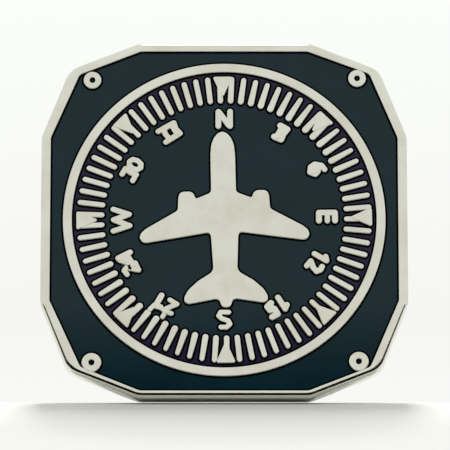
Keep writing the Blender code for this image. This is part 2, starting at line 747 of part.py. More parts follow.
def make_clutch(side, offset, lever, spring, parts, cutters, frame, materials):
    """A butterfly clutch on its post: base disc, housing, two wings and grip spring."""
    stand = bpy.data.objects.new(f"clutch_{side}_frame", None)
    parts.objects.link(stand)
    stand.parent = frame
    stand.location = (offset, 0.0, -CLOTH_GAP)
    stand.rotation_euler.x = math.pi
    turned(f"clutch_{side}_base", base_profile(), True, parts, stand, materials["nickel"])
    make_housing(f"clutch_{side}_housing", parts, cutters, stand, materials["nickel"])
    for wing, direction in (("left", -1), ("right", 1)):
        piece = place(f"clutch_{side}_wing_{wing}", lever, parts, stand, materials["nickel"])
        piece.location = (direction * PIVOT_OFFSET, 0.0, PIVOT_HEIGHT)
        piece.rotation_euler.z = math.pi if direction < 0 else 0.0
    place(f"clutch_{side}_grip_spring", spring, parts, stand, materials["steel"], smooth=True)


def main():
    clear_scene()
    parts = new_collection("heading_indicator_pin")
    cutters = new_collection("cutters")
    materials = {
        "struck_nickel": new_material("struck_nickel", (0.66, 0.64, 0.60), 1.0, 0.28),
        "enamel": new_material("black_enamel", (0.014, 0.027, 0.033), 0.0, 0.12),
        "nickel": new_material("clutch_nickel", (0.62, 0.60, 0.56), 1.0, 0.22),
        "steel": new_material("post_steel", (0.56, 0.56, 0.55), 1.0, 0.25),
        "solder": new_material("solder", (0.45, 0.46, 0.47), 1.0, 0.4),
    }
    frame = bpy.data.objects.new("pin_frame", None)
    parts.objects.link(frame)
    frame.rotation_euler.x = math.pi / 2

    make_pin_body(parts, cutters, frame, materials["struck_nickel"])
    make_enamel_dial(parts, cutters, frame, materials["enamel"])
    make_enamel_field(parts, cutters, frame, materials["enamel"])
    make_enamel_dots(parts, frame, materials["enamel"])
    make_enamel_counters(parts, cutters, frame, materials["enamel"])
    lever = lever_mesh(cutters)
    spring = spring_mesh()
    for side, offset in (("left", -POST_SPACING / 2), ("right", POST_SPACING / 2)):
        make_post(side, offset, parts, frame, materials)
        make_clutch(side, offset, lever, spring, parts, cutters, frame, materials)


if __name__ == "__main__":
    main()
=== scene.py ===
"""Heading indicator lapel pin: the finished look of every piece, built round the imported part.

The plate is drawn lying face up and stood upright as it is worn: its face looks along -Y and north is +Z.
Sizes are in metres.
"""

import json
import math

import bmesh
import bpy
from bpy.props import FloatProperty, FloatVectorProperty, IntProperty, PointerProperty
from mathutils import Matrix, Vector

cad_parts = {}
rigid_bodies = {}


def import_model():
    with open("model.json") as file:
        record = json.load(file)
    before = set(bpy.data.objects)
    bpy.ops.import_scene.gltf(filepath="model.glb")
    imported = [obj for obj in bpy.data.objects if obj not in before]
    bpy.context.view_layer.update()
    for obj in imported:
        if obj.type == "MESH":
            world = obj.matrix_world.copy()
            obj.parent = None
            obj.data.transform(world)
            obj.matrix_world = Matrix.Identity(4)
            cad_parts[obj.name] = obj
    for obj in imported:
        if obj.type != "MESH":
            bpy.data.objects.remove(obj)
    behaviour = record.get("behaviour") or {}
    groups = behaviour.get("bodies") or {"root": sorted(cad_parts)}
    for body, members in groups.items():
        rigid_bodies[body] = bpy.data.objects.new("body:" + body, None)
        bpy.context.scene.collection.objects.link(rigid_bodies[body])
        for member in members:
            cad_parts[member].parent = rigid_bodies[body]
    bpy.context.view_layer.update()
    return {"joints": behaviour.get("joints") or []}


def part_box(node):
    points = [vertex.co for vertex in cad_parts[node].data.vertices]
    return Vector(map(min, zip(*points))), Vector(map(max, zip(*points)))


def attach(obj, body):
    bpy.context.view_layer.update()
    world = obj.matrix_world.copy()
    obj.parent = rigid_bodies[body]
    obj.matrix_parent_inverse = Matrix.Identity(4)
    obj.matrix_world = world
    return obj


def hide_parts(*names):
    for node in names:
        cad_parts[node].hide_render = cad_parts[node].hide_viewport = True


bl_info = {
    "name": "Heading Indicator Lapel Pin",
    "version": (1, 0, 0),
    "blender": (4, 5, 0),
    "location": "View3D > Sidebar > Heading Pin",
    "description": "Builds an enamelled heading indicator pin with two posts and two butterfly clutches",
    "category": "Object",
}

MM = 0.001
UPRIGHT = Matrix.Rotation(math.pi / 2, 4, "X")

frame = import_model()

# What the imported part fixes, measured on it
PLATE_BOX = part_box("pin_body")
DIAL_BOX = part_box("enamel_dial")
FIELD_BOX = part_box("enamel_field")
PLATE_HALF = PLATE_BOX[1].x
PLATE_FRONT = -PLATE_BOX[0].y
ENAMEL_BOTTOM = -DIAL_BOX[1].y
ENAMEL_TOP = -DIAL_BOX[0].y
SIDES = ("left", "right")


def linear_colour(code):
    """An sRGB hex colour as linear red, green and blue."""
    values = [int(code[i : i + 2], 16) / 255 for i in (0, 2, 4)]
    return tuple(v / 12.92 if v <= 0.04045 else ((v + 0.055) / 1.055) ** 2.4 for v in values)


def length(name, millimetres, description):
    return FloatProperty(
        name=name, description=description, default=millimetres * MM, min=0.0, unit="LENGTH"
    )


def tint(name, code, description):
    return FloatVectorProperty(
        name=name,
        description=description,
        default=linear_colour(code),
        size=3,
        min=0.0,
        max=1.0,
        subtype="COLOR",
    )


def plain(name, value, description):
    return FloatProperty(name=name, description=description, default=value)


class PlateSizes(bpy.types.PropertyGroup):
    """The struck blank: a square whose corners are cut by two facets each."""

    clearance: length("Enamel clearance", 0.02, "Gap between the enamel and the metal in the packed part")
    rim_width: length("Rim width", 0.36, "Width of the bare metal edge on the front")
    facet_reach: length("Facet reach", 6.23, "From the square's corner to where its facets start")
    corner_inset: length("Corner inset", 1.77, "From the square's sides to the point where two facets meet")
    field_radius: length("Field corner radius", 0.5, "Rounding of the recess outline")
    rim_radius: length("Rim corner radius", 1.6, "Rounding of the outer outline")
    bevel_width: length("Bevel width", 0.31, "How far the tumbled edge reaches in")
    bevel_depth: length("Bevel depth", 0.126, "How far the tumbled edge reaches back")
    front_rounding: length("Front edge rounding", 0.50, "Radius that tumbling leaves next to the flat rim")
    side_rounding: length("Side edge rounding", 0.35, "Radius that tumbling leaves next to the side")
    flat_width: length("Flat rim width", 0.25, "Width of the rim that stays flat")
    back_rounding: length("Back edge rounding", 0.08, "Radius of the back edge")
    relief_rounding: length("Relief edge rounding", 0.05, "Radius on the edges of the raised metal")
    recess_depth: length("Recess depth", 0.45, "Depth of the recess that holds the enamel")
    enamel_roll: length("Enamel roll-off width", 0.13, "Width over which the enamel falls away beside metal")
    enamel_dip: length("Enamel roll-off depth", 0.09, "Depth by which the enamel falls away beside metal")
    skew: length("Outline skew", 0.12, "How much lower the recess sits than the plate's own outline")


class DialSizes(bpy.types.PropertyGroup):
    """The ring and everything struck inside it."""

    ring_width: length("Ring width", 0.63, "Width of the ring round the dial")
    tick_gap: length("Tick gap", 0.30, "From the ring to the ticks")
    tick_length: length("Tick length", 1.97, "Length of each tick")
    tick_width: length("Tick width", 0.40, "Width of a tick")
    tick_count: IntProperty(name="Tick count", description="Ticks round the dial", default=74, min=4)
    first_tick: plain("First tick", 3.4, "Heading of the first tick in degrees")
    tick_drift: plain("Tick drift", 0.95, "Degrees by which the hand-drawn ticks stray from even spacing")
    drift_phase: plain("Drift phase", 22.0, "Heading at which the drift starts, in degrees")
    wedge_count: IntProperty(name="Wedge count", description="Large marks round the dial", default=8, min=1)
    wedge_turn: plain("Wedge turn", -0.7, "Degrees by which the wedges are turned from the headings")
    wedge_width: length("Wedge width", 1.42, "Width of a wedge at its outer end")
    wedge_length: length("Wedge length", 1.62, "Length of a wedge")
    numeral_gap: length("Numeral gap", 0.28, "From the ticks to the numerals")
    numeral_height: length("Numeral height", 1.40, "Height of a numeral")
    aircraft_gap: length("Aircraft gap", 0.24, "From the numerals to the airliner's nose")
    aircraft_turn: plain("Aircraft turn", 1.3, "Degrees that the airliner is turned anticlockwise")
    screw_top_radius: length("Top screw radius", 0.62, "Radius of an upper screw head")
    screw_bottom_radius: length("Bottom screw radius", 0.68, "Radius of a lower screw head")
    screw_dot: length("Screw dot radius", 0.19, "Radius of the enamel dot in a screw head")


class HardwareSizes(bpy.types.PropertyGroup):
    """Posts and butterfly clutches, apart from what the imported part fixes."""

    sheet: length("Sheet thickness", 0.35, "Thickness of the clutches' sheet metal")
    post_radius: length("Post radius", 0.5, "Radius of a post's shank")
    pad_thickness: length("Pad thickness", 0.28, "Thickness of the flat head of a post")
    groove_depth: length("Groove depth", 0.08, "Depth of the ring that a clutch clicks into")
    point_length: length("Point length", 1.0, "Length of a post's taper")
    pivot_hole: length("Pivot hole radius", 0.30, "Radius of the holes that hold the wings")
    post_hole: length("Post hole radius", 0.75, "Radius of the hole in the housing")
    bridge_length: length("Bridge length", 3.7, "Length of the housing's top")
    jaw_lip: length("Jaw lip width", 1.1, "Width of the lip that grips the post")
    ear_width: length("Ear width", 5.2, "Width of a wing's ear")
    spring_wire: length("Spring wire radius", 0.15, "Radius of the grip spring's wire")
    spring_mouth: plain("Spring mouth", 50.0, "Opening of the grip spring in degrees")


class Finishes(bpy.types.PropertyGroup):
    """Colours of the materials."""

    nickel: tint("Nickel", "D9D9CE", "Polished nickel plate")
    nickel_worn: tint("Nickel, worn", "CFCCBF", "Nickel where handling has dulled it")
    enamel: tint("Black enamel", "06242C", "Enamel on the open field")
    # Painted shade: a blacker copy of the enamel for the faces where it dips beside the metal.
    enamel_painted_shade: tint("Black enamel beside metal", "020306", "Enamel drawn down beside the metal")
    # The band's colour is an indigo tint laid over a ring at the ticks' radius; the enamel isn't made thinner
    # there.
    enamel_band: tint("Black enamel by the ticks", "1A1430", "Enamel lying thin between the ticks")
    clutch: tint("Clutch nickel", "D3CFC6", "Bright nickel on stamped brass")
    steel: tint("Post steel", "C4C5C6", "Drawn steel wire")
    solder: tint("Solder", "9FA2A6", "Tin solder")
    floor: tint("Floor", "CFCFCC", "Matt pale sweep")


class StageSizes(bpy.types.PropertyGroup):
    """Camera, floor and lights."""

    camera_drop: plain("Camera drop", 14.4, "Degrees that the camera sits below the pin's face normal")
    camera_distance: length("Camera distance", 339.0, "From the dial's centre to the camera")
    camera_lens: plain("Focal length", 392.0, "Camera focal length in millimetres")
    aim_right: length("Aim right", 0.055, "How far right of the dial's centre the camera aims")
    aim_down: length("Aim down", 0.443, "How far below the dial's centre the camera aims")
    crest_radius: length("Crest radius", 11.0, "Radius over which the floor turns down in front of the pin")
    slope: plain("Floor slope", 45.0, "Slope of the floor in front of the pin, in degrees")
    light_height: length("Light height", 300.0, "Height of the overhead light")
    light_setback: length("Light setback", 28.0, "How far behind the pin the overhead light hangs")
    light_size: length("Light size", 40.0, "Width of the overhead light")
    light_power: plain("Light power", 0.90, "Power of the overhead light in watts")


DIAL_STEPS = 240  # sides of the large circles
HEAD_STEPS = 48  # sides of a screw head and of a post
DOT_STEPS = 32  # sides of the enamel dot in a screw head
WEDGE_ROUNDING = 0.12 * MM
HIDDEN_EDGE = 0.03 * MM  # how far an enamel edge runs into the metal beside it
FLAT_FACE = 0.995  # upright part of a face's normal above which it counts as flat

# Numerals as strokes: (half width, points). One unit is a twentieth of the numeral height, x runs
# clockwise and y outward, and (0, 0) is on the numerals' centre circle.
NUMERAL_UNITS = 20.0
NUMERALS = {
    0: (
        (3.0, ((-5.8, 5.7), (-5.8, -9.3))),
        (3.0, ((5.8, 5.9), (5.8, -9.3))),
        (3.0, ((-5.0, 5.0), (4.6, -8.6))),
    ),
    30: (
        (3.4, ((0.6, 6.4), (8.4, 6.4), (7.4, 0.2), (8.2, -5.6), (1.0, -6.4))),
        (3.6, ((3.6, 4.0), (3.6, -4.0))),
    ),
    60: (
        (3.0, ((6.0, 7.2), (1.0, 6.6), (-3.4, 1.6), (-3.0, -3.4), (1.4, -6.8), (5.8, -3.2), (4.4, 0.6))),
        (4.6, ((1.2, -2.6), (0.8, 2.4))),
    ),
    90: (
        (3.1, ((2.0, 5.4), (-6.3, 5.3), (-6.2, -10.5), (2.2, -10.5))),
        (2.8, ((-5.0, -2.2), (2.4, -2.2))),
    ),
    120: (
        (3.0, ((-16.6, 1.8), (-13.4, 4.6), (-13.6, -9.2))),
        (3.0, ((-6.0, 3.8), (-2.6, 4.2), (1.0, 1.4), (-0.4, -2.6), (-5.4, -8.6), (0.8, -9.6))),
    ),
    150: (
        (3.1, ((-9.6, 2.4), (-6.2, 5.2), (-5.8, -8.4))),
        (3.3, ((9.0, 6.0), (3.0, 6.4), (3.0, 0.0), (7.6, -1.2), (8.0, -5.4), (3.0, -6.9))),
        (3.0, ((4.0, 3.0), (4.6, -4.0))),
    ),
    180: (
        (2.7, ((3.2, 5.9), (-2.2, 6.1), (-5.6, 3.0), (-4.0, -0.4), (2.4, -2.6))),
        (2.7, ((2.4, -2.6), (5.4, -5.4), (3.4, -9.2), (-4.4, -9.1))),
    ),
    210: (
        (2.7, ((-3.0, 5.3), (2.0, 6.2), (3.6, 3.4), (-3.2, -5.6), (5.0, -5.9))),
        (3.1, ((9.4, 5.0), (14.4, 6.4), (14.4, -5.8))),
        (2.6, ((2.0, 6.2), (9.4, 5.6))),
        (2.6, ((2.6, 6.0), (2.6, 12.6))),
        (2.6, ((15.6, 6.0), (17.2, 12.2))),
    ),
    240: (
        (2.8, ((-1.4, 7.2), (3.4, 7.8), (5.2, 4.6), (-3.0, -5.0), (5.0, -5.6))),
        (3.0, ((4.4, -3.0), (15.4, 6.4), (17.4, 6.6), (16.8, -6.6))),
        (3.0, ((4.4, -3.0), (16.8, -2.4))),
        (3.0, ((12.0, 1.0), (15.0, 1.0))),
    ),
    270: ((2.9, ((-12.6, 5.4), (-7.2, -10.8), (-1.2, 5.2), (4.4, -10.2), (9.6, 5.6))),),
    300: (
        (2.9, ((-11.2, 6.2), (-4.6, 6.2), (-5.6, 0.0), (-4.6, -6.2), (-11.6, -6.3))),
        (3.0, ((-4.6, 0.0), (-1.4, 0.0))),
        (2.9, ((3.7, 6.3), (0.2, 4.6), (-1.0, 0.0), (0.2, -4.6), (3.7, -6.3))),
        (2.9, ((3.7, 6.3), (7.2, 4.6), (8.4, 0.0), (7.2, -4.6), (3.7, -6.3))),
    ),
    330: (
        (2.9, ((-12.0, 6.1), (-6.0, 6.1), (-7.4, 0.0), (-6.0, -7.0), (-11.0, -7.3))),
        (3.1, ((-6.0, 6.1), (5.6, 5.9), (4.2, 0.0), (5.6, -6.4), (-6.0, -7.0))),
        (3.4, ((3.2, 3.6), (3.2, -4.0))),
    ),
}

AIRCRAFT_SOFTENING = 0.16 * MM  # reach over which the airliner's corners are eased

# Right half of the airliner from nose to tail: along and across, as shares of its half length
AIRCRAFT_HALF = (
    (0.000, 0.990),
    (0.052, 0.968),
    (0.095, 0.915),
    (0.125, 0.840),
    (0.136, 0.720),
    (0.137, 0.315),
    (0.156, 0.292),
    (0.306, 0.232),
    (0.324, 0.290),
    (0.360, 0.316),
    (0.452, 0.316),
    (0.486, 0.292),
    (0.498, 0.240),
    (0.504, 0.110),
    (0.540, 0.085),
    (0.860, -0.095),
    (0.915, -0.145),
    (0.928, -0.200),
    (0.900, -0.245),
    (0.860, -0.258),
    (0.175, -0.155),
    (0.150, -0.185),
    (0.132, -0.560),
    (0.160, -0.604),
    (0.300, -0.690),
    (0.410, -0.790),
    (0.455, -0.870),
    (0.455, -0.925),
    (0.410, -0.952),
    (0.110, -0.900),
    (0.072, -0.915),
    (0.055, -0.975),
    (0.028, -0.995),
)


# Screw heads' centres and the recess's corners in mm, as the hand-drawn artwork has them
SCREW_CENTRES = {
    "top_left": (-9.18, 9.97),
    "top_right": (9.26, 10.10),
    "bottom_left": (-9.12, -10.20),
    "bottom_right": (9.25, -10.12),
}
RECESS_CORNERS = ((10.10, 10.42), (-10.06, 10.36), (-9.88, -10.50), (10.04, -10.50))

# Outlines: closed, anticlockwise lists of (x, y)


def grown(outline, distance):
    """The outline moved outward by distance, with its corners kept sharp."""
    moved = []
    for i, point in enumerate(outline):
        here = Vector(point)
        before = (here - Vector(outline[i - 1])).normalized()
        after = (Vector(outline[(i + 1) % len(outline)]) - here).normalized()
        normals = Vector((before.y, -before.x)), Vector((after.y, -after.x))
        middle = (normals[0] + normals[1]).normalized()
        moved.append(tuple(here + middle * (distance / middle.dot(normals[0]))))
    return moved


def rounded(outline, radius, steps):
    """The outline with each corner replaced by an arc."""
    points = []
    for i, point in enumerate(outline):
        points += corner_arc(outline[i - 1], point, outline[(i + 1) % len(outline)], radius, steps)
    return points


def corner_arc(before, corner, after, radius, steps):
    """Points of the arc that rounds one corner of a line."""
    here = Vector(corner)
    back = (Vector(before) - here).normalized()
    onward = (Vector(after) - here).normalized()
    half_turn = (math.pi - back.angle(onward)) / 2
    start = here + back * (radius * math.tan(half_turn))
    end = here + onward * (radius * math.tan(half_turn))
    centre = here + (back + onward).normalized() * (radius / math.cos(half_turn))
    return [
        tuple(centre + (start - centre).lerp(end - centre, step / steps).normalized() * radius)
        for step in range(steps + 1)
    ]


def softened(outline, reach, steps):
    """The outline with each corner eased over a reach, or over half of a shorter side."""
    points = []
    for i, point in enumerate(outline):
        here = Vector(point)
        ends = []
        for other in (outline[i - 1], outline[(i + 1) % len(outline)]):
            side = Vector(other) - here
            ends.append(here + side.normalized() * min(reach, side.length * 0.48))
        for step in range(steps + 1):
            share = step / steps
            points.append(tuple(ends[0].lerp(here, share).lerp(here.lerp(ends[1], share), share)))
    return points


def circle(centre, radius, steps):
    """Points round a circle."""
    turn = 2 * math.pi / steps
    return [
        (centre[0] + radius * math.cos(turn * i), centre[1] + radius * math.sin(turn * i))
        for i in range(steps)
    ]


def round_outline(centre, radius, steps):
    """A circle as a function from growth to outline."""
    return lambda growth: circle(centre, radius + growth, steps)


def stadium(start, end, start_radius, end_radius, steps):
    """A straight stroke with round ends."""
    start, end = Vector(start), Vector(end)
    heading = math.atan2(end.y - start.y, end.x - start.x)
    points = []
    for centre, radius, first in ((end, end_radius, -math.pi / 2), (start, start_radius, math.pi / 2)):
        for step in range(steps + 1):
            angle = heading + first + math.pi * step / steps
            points.append((centre.x + radius * math.cos(angle), centre.y + radius * math.sin(angle)))
    return points


def around_dial(angle, radius, across=0.0):
    """The point at a heading in degrees clockwise from north, at a radius, and so far across it clockwise."""
    turn = math.radians(angle)
    return (
        radius * math.sin(turn) + across * math.cos(turn),
        radius * math.cos(turn) - across * math.sin(turn),
    )


def rounded_line(corners, steps=5):
    """An open line of (across, height, rounding) corners as plain points, with its corners rounded."""
    places = [corner[:2] for corner in corners]
    points = [places[0]]
    for i in range(1, len(corners) - 1):
        radius = corners[i][2]
        if radius:
            points += corner_arc(places[i - 1], places[i], places[i + 1], radius, steps)
        else:
            points.append(places[i])
    return [*points, places[-1]]


# Meshes


def loft(shape, rings, closed=False):
    """Adds a closed shell to a bmesh, through rings of equally many points."""
    rows = [[shape.verts.new(point) for point in ring] for ring in rings]
    pairs = list(zip(rows, rows[1:]))
    faces = []
    if closed:
        pairs.append((rows[-1], rows[0]))
    else:
        faces += [shape.faces.new(rows[0]), shape.faces.new(rows[-1])]
    for low, high in pairs:
        for i in range(len(low)):
            faces.append(shape.faces.new((low[i - 1], low[i], high[i], high[i - 1])))
    bmesh.ops.recalc_face_normals(shape, faces=faces)


def nudged(profile, index):
    """The profile a hair smaller, so that no two shapes that run through each other share a surface."""
    hair = 0.001 * MM * (index % 7)
    return [(growth - hair / 2, height - hair) for growth, height in profile]


def stacked(outline_at, profile):
    """Rings of an outline, grown by the first number of each profile point, at the height of the second."""
    return [[(x, y, height) for x, y in outline_at(growth)] for growth, height in profile]


def turned_rings(profile, steps):
    return [[(x, y, height) for x, y in circle((0, 0), radius, steps)] for radius, height in profile]


def mesh_of(shape):
    mesh = bpy.data.meshes.new("shape")
    shape.to_mesh(mesh)
    shape.free()
    return mesh


def shells(stacks, closed=False):
    """One mesh that holds a shell for each list of rings."""
    shape = bmesh.new()
    for rings in stacks:
        loft(shape, rings, closed)
    return mesh_of(shape)


def combined(first, second, operation):
    """The Boolean result of two meshes; both are used up."""
    pair = [bpy.data.objects.new("operand", mesh) for mesh in (first, second)]
    for operand in pair:
        bpy.context.scene.collection.objects.link(operand)
    modifier = pair[0].modifiers.new("Boolean", "BOOLEAN")
    modifier.operation = operation
    modifier.solver = "EXACT"
    modifier.use_self = True
    modifier.object = pair[1]
    bpy.context.view_layer.update()
    graph = bpy.context.evaluated_depsgraph_get()
    result = bpy.data.meshes.new_from_object(pair[0].evaluated_get(graph))
    for operand in pair:
        mesh = operand.data
        bpy.data.objects.remove(operand, do_unlink=True)
        bpy.data.meshes.remove(mesh)
    if not result.polygons:
        raise RuntimeError("a Boolean left nothing")
    return result


def shade(mesh, angle=40.0, flat_axis=None):
    """Smooth shading with sharp creases; flats across an axis stay flat right to their edges."""
    mesh.shade_smooth()
    mesh.set_sharp_from_angle(angle=math.radians(angle))
    if flat_axis is None:
        return
    shape = bmesh.new()
    shape.from_mesh(mesh)
    for edge in shape.edges:
        level = [abs(face.normal.dot(flat_axis)) > 0.9998 for face in edge.link_faces]
        if len(set(level)) > 1:
            edge.smooth = False
    shape.to_mesh(mesh)
    shape.free()


def put(name, mesh, place, body, nodes, material, angle=40.0, flats=False, painted_shade_material=None):
    """Stands a finished mesh in the frame as a piece of the object.

    The angle is where a crease starts. With flats, level faces stay flat right up to their edges. The
    painted shade material, a darker copy of the first, goes on the faces that aren't level.
    """
    shade(mesh, angle, Vector((0, 0, 1)) if flats else None)
    mesh.materials.clear()
    mesh.materials.append(material)
    if painted_shade_material:
        mesh.materials.append(painted_shade_material)
    # Painted shade: faces that aren't level get the darker copy of the material.
    for face in mesh.polygons:
        face.material_index = 1 if painted_shade_material and abs(face.normal.z) < FLAT_FACE else 0
    mesh.transform(place)
    mesh.name = name
    piece = bpy.data.objects.new(name, mesh)
    bpy.context.scene.collection.objects.link(piece)
    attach(piece, body)
    if nodes:
        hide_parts(*nodes)
    return piece


# Materials. The hairlines and the sheet's rolling lines are drawn far coarser than real ones, which
# would be too fine to see.


def add(tree, kind, settings=None, **links):
    """Adds a node, sets its values, and links its inputs from the given sockets."""
    node = tree.nodes.new(kind)
    for key, value in (settings or {}).items():
        if hasattr(node, key):
            setattr(node, key, value)
        else:
            node.inputs[key].default_value = value
    for key, socket in links.items():
        target = node.inputs[int(key[1:])] if key[0] == "i" and key[1:].isdigit() else node.inputs[key]
        tree.links.new(socket, target)
    return node


def new_material(name):
    material = bpy.data.materials.new(name)
    material.use_nodes = True
    tree = material.node_tree
    tree.nodes.clear()
    shader = add(tree, "ShaderNodeBsdfPrincipled")
    output = add(tree, "ShaderNodeOutputMaterial")
    tree.links.new(shader.outputs[0], output.inputs[0])
    return material, tree, shader


def per_mm(millimetres):
    """Texture scale at which one feature is about this many millimetres across."""
    return 1.0 / (millimetres * MM)


def scaled_noise(tree, place, size, detail=2.0, roughness=0.5, stretch=(1, 1, 1)):
    """Noise with features of a real size, stretched along an axis where the finish runs along it."""
    turned = add(tree, "ShaderNodeMapping", {"Scale": stretch}, Vector=place)
    return add(
        tree,
        "ShaderNodeTexNoise",
        {"Scale": per_mm(size), "Detail": detail, "Roughness": roughness},
        Vector=turned.outputs[0],
    ).outputs[0]


def mixed(tree, factor, first, second):
    node = add(tree, "ShaderNodeMix", {"data_type": "RGBA"})
    tree.links.new(factor, node.inputs[0])
    for value, index in ((first, 6), (second, 7)):
        if isinstance(value, bpy.types.NodeSocket):
            tree.links.new(value, node.inputs[index])
        else:
            node.inputs[index].default_value = (*value, 1.0)
    return node.outputs[2]


def ramped(tree, value, low, high, start=0.0, end=1.0):
    settings = {"From Min": low, "From Max": high, "To Min": start, "To Max": end}
    return add(tree, "ShaderNodeMapRange", settings, Value=value).outputs[0]


def polished_nickel(finish):
    """Bright nickel plate on struck brass, tumbled and buffed: soft mottling, hairlines, a dull bloom."""
    material, tree, shader = new_material("polished_nickel_plate")
    place = add(tree, "ShaderNodeTexCoord").outputs["Object"]
    bloom = scaled_noise(tree, place, 2.2, 3.0, 0.6)
    grain = scaled_noise(tree, place, 0.45, 2.0, 0.5)
    hairline = scaled_noise(tree, place, 0.16, 2.0, 0.6, (1.0, 1.0, 0.06))
    patch = ramped(tree, bloom, 0.40, 0.72)
    colour = mixed(tree, patch, tuple(finish.nickel), tuple(finish.nickel_worn))
    tree.links.new(colour, shader.inputs["Base Color"])
    shader.inputs["Metallic"].default_value = 1.0
    tree.links.new(ramped(tree, grain, 0.3, 0.7, 0.10, 0.18), shader.inputs["Roughness"])
    height = add(tree, "ShaderNodeMath", {"operation": "ADD"}, i0=grain, i1=hairline).outputs[0]
    bump = add(tree, "ShaderNodeBump", {"Strength": 0.3, "Distance": 0.003 * MM}, Height=height)
    tree.links.new(bump.outputs[0], shader.inputs["Normal"])
    return material


def black_enamel(finish, band=None):
    """Stoved black enamel: glassy, with a slight orange peel, a blue-green cast and a few specks of dust."""
    name = "stoved_black_enamel" if band is None else "stoved_black_enamel_dial"
    material, tree, shader = new_material(name)
    place = add(tree, "ShaderNodeTexCoord").outputs["Object"]
    peel = scaled_noise(tree, place, 1.1, 2.0, 0.5)
    cloud = scaled_noise(tree, place, 3.0, 2.0, 0.5)
    base = tuple(finish.enamel)
    colour = mixed(tree, ramped(tree, cloud, 0.3, 0.7), base, tuple(c * 0.8 for c in base))
    # An indigo tint over a ring at the ticks' radius, blended in by distance from the dial's centre.
    if band:
        flat = add(tree, "ShaderNodeMapping", {"Scale": (1, 0, 1)}, Vector=place)
        away = add(tree, "ShaderNodeVectorMath", {"operation": "LENGTH"}, i0=flat.outputs[0])
        radius = away.outputs[1]
        share = ramped(tree, radius, band[0], band[1])
        colour = mixed(tree, share, colour, tuple(finish.enamel_band))
    tree.links.new(colour, shader.inputs["Base Color"])
    dust = scaled_noise(tree, place, 0.10, 0.0, 0.5)
    tree.links.new(ramped(tree, dust, 0.60, 0.80, 0.07, 0.30), shader.inputs["Roughness"])
    shader.inputs["IOR"].default_value = 1.5
    # Painted shade: the specular level falls from 0.20 to 0.02 towards the plate's bottom edge, so the lower
    # enamel reflects less and looks darker, standing in for how the light falls there.
    height = add(tree, "ShaderNodeSeparateXYZ", Vector=place).outputs[2]
    painted_shade_gloss = ramped(tree, height, -11.5 * MM, -6.0 * MM, 0.02, 0.20)
    tree.links.new(painted_shade_gloss, shader.inputs["Specular IOR Level"])
    bump = add(tree, "ShaderNodeBump", {"Strength": 0.2, "Distance": 0.004 * MM}, Height=peel)
    tree.links.new(bump.outputs[0], shader.inputs["Normal"])
    return material


def painted_shade_enamel(finish):
    """The same enamel where it has drawn down beside the metal, as a darker copy with painted shade: it lies
    in shadow, so its colour is made blacker and its specular almost nil.
    """
    material, tree, shader = new_material("stoved_black_enamel_painted_shade")
    place = add(tree, "ShaderNodeTexCoord").outputs["Object"]
    cloud = scaled_noise(tree, place, 0.8, 2.0, 0.5)
    base = tuple(finish.enamel_painted_shade)
    tree.links.new(mixed(tree, cloud, base, tuple(c * 0.5 for c in base)), shader.inputs["Base Color"])
    tree.links.new(ramped(tree, cloud, 0.3, 0.7, 0.25, 0.45), shader.inputs["Roughness"])
    shader.inputs["Specular IOR Level"].default_value = 0.02
    return material


def stamped_nickel(finish):
    """Nickel on stamped brass sheet: bright, with the rolling lines of the strip and small rubs."""
    material, tree, shader = new_material("stamped_nickel_sheet")
    place = add(tree, "ShaderNodeTexCoord").outputs["Object"]
    rolling = scaled_noise(tree, place, 0.09, 3.0, 0.6, (0.05, 1.0, 1.0))
    rub = scaled_noise(tree, place, 1.3, 3.0, 0.6)
    base = tuple(finish.clutch)
    colour = mixed(tree, ramped(tree, rub, 0.35, 0.7), base, tuple(c * 0.84 for c in base))
    tree.links.new(colour, shader.inputs["Base Color"])
    shader.inputs["Metallic"].default_value = 1.0
    tree.links.new(ramped(tree, rub, 0.3, 0.7, 0.16, 0.30), shader.inputs["Roughness"])
    bump = add(tree, "ShaderNodeBump", {"Strength": 0.4, "Distance": 0.004 * MM}, Height=rolling)
    tree.links.new(bump.outputs[0], shader.inputs["Normal"])
    return material


def drawn_steel(finish):
    """Drawn steel wire: fine lines along the post, a little darker in its grooves."""
    material, tree, shader = new_material("drawn_steel_wire")
    place = add(tree, "ShaderNodeTexCoord").outputs["Object"]
    lines = scaled_noise(tree, place, 0.05, 2.0, 0.6, (1.0, 0.05, 1.0))
    base = tuple(finish.steel)
    colour = mixed(tree, ramped(tree, lines, 0.3, 0.7), base, tuple(c * 0.78 for c in base))
    tree.links.new(colour, shader.inputs["Base Color"])
    shader.inputs["Metallic"].default_value = 1.0
    tree.links.new(ramped(tree, lines, 0.3, 0.7, 0.2, 0.34), shader.inputs["Roughness"])
    bump = add(tree, "ShaderNodeBump", {"Strength": 0.4, "Distance": 0.003 * MM}, Height=lines)
    tree.links.new(bump.outputs[0], shader.inputs["Normal"])
    return material


def tin_solder(finish):
    """Tin solder that has run and set: dull, grey and slightly lumpy."""
    material, tree, shader = new_material("tin_solder")
    place = add(tree, "ShaderNodeTexCoord").outputs["Object"]
    lumps = scaled_noise(tree, place, 0.35, 3.0, 0.6)
    base = tuple(finish.solder)
    colour = mixed(tree, lumps, base, tuple(c * 0.7 for c in base))
    tree.links.new(colour, shader.inputs["Base Color"])
    shader.inputs["Metallic"].default_value = 1.0
    tree.links.new(ramped(tree, lumps, 0.3, 0.7, 0.34, 0.52), shader.inputs["Roughness"])
    bump = add(tree, "ShaderNodeBump", {"Strength": 0.5, "Distance": 0.02 * MM}, Height=lumps)
    tree.links.new(bump.outputs[0], shader.inputs["Normal"])
    return material


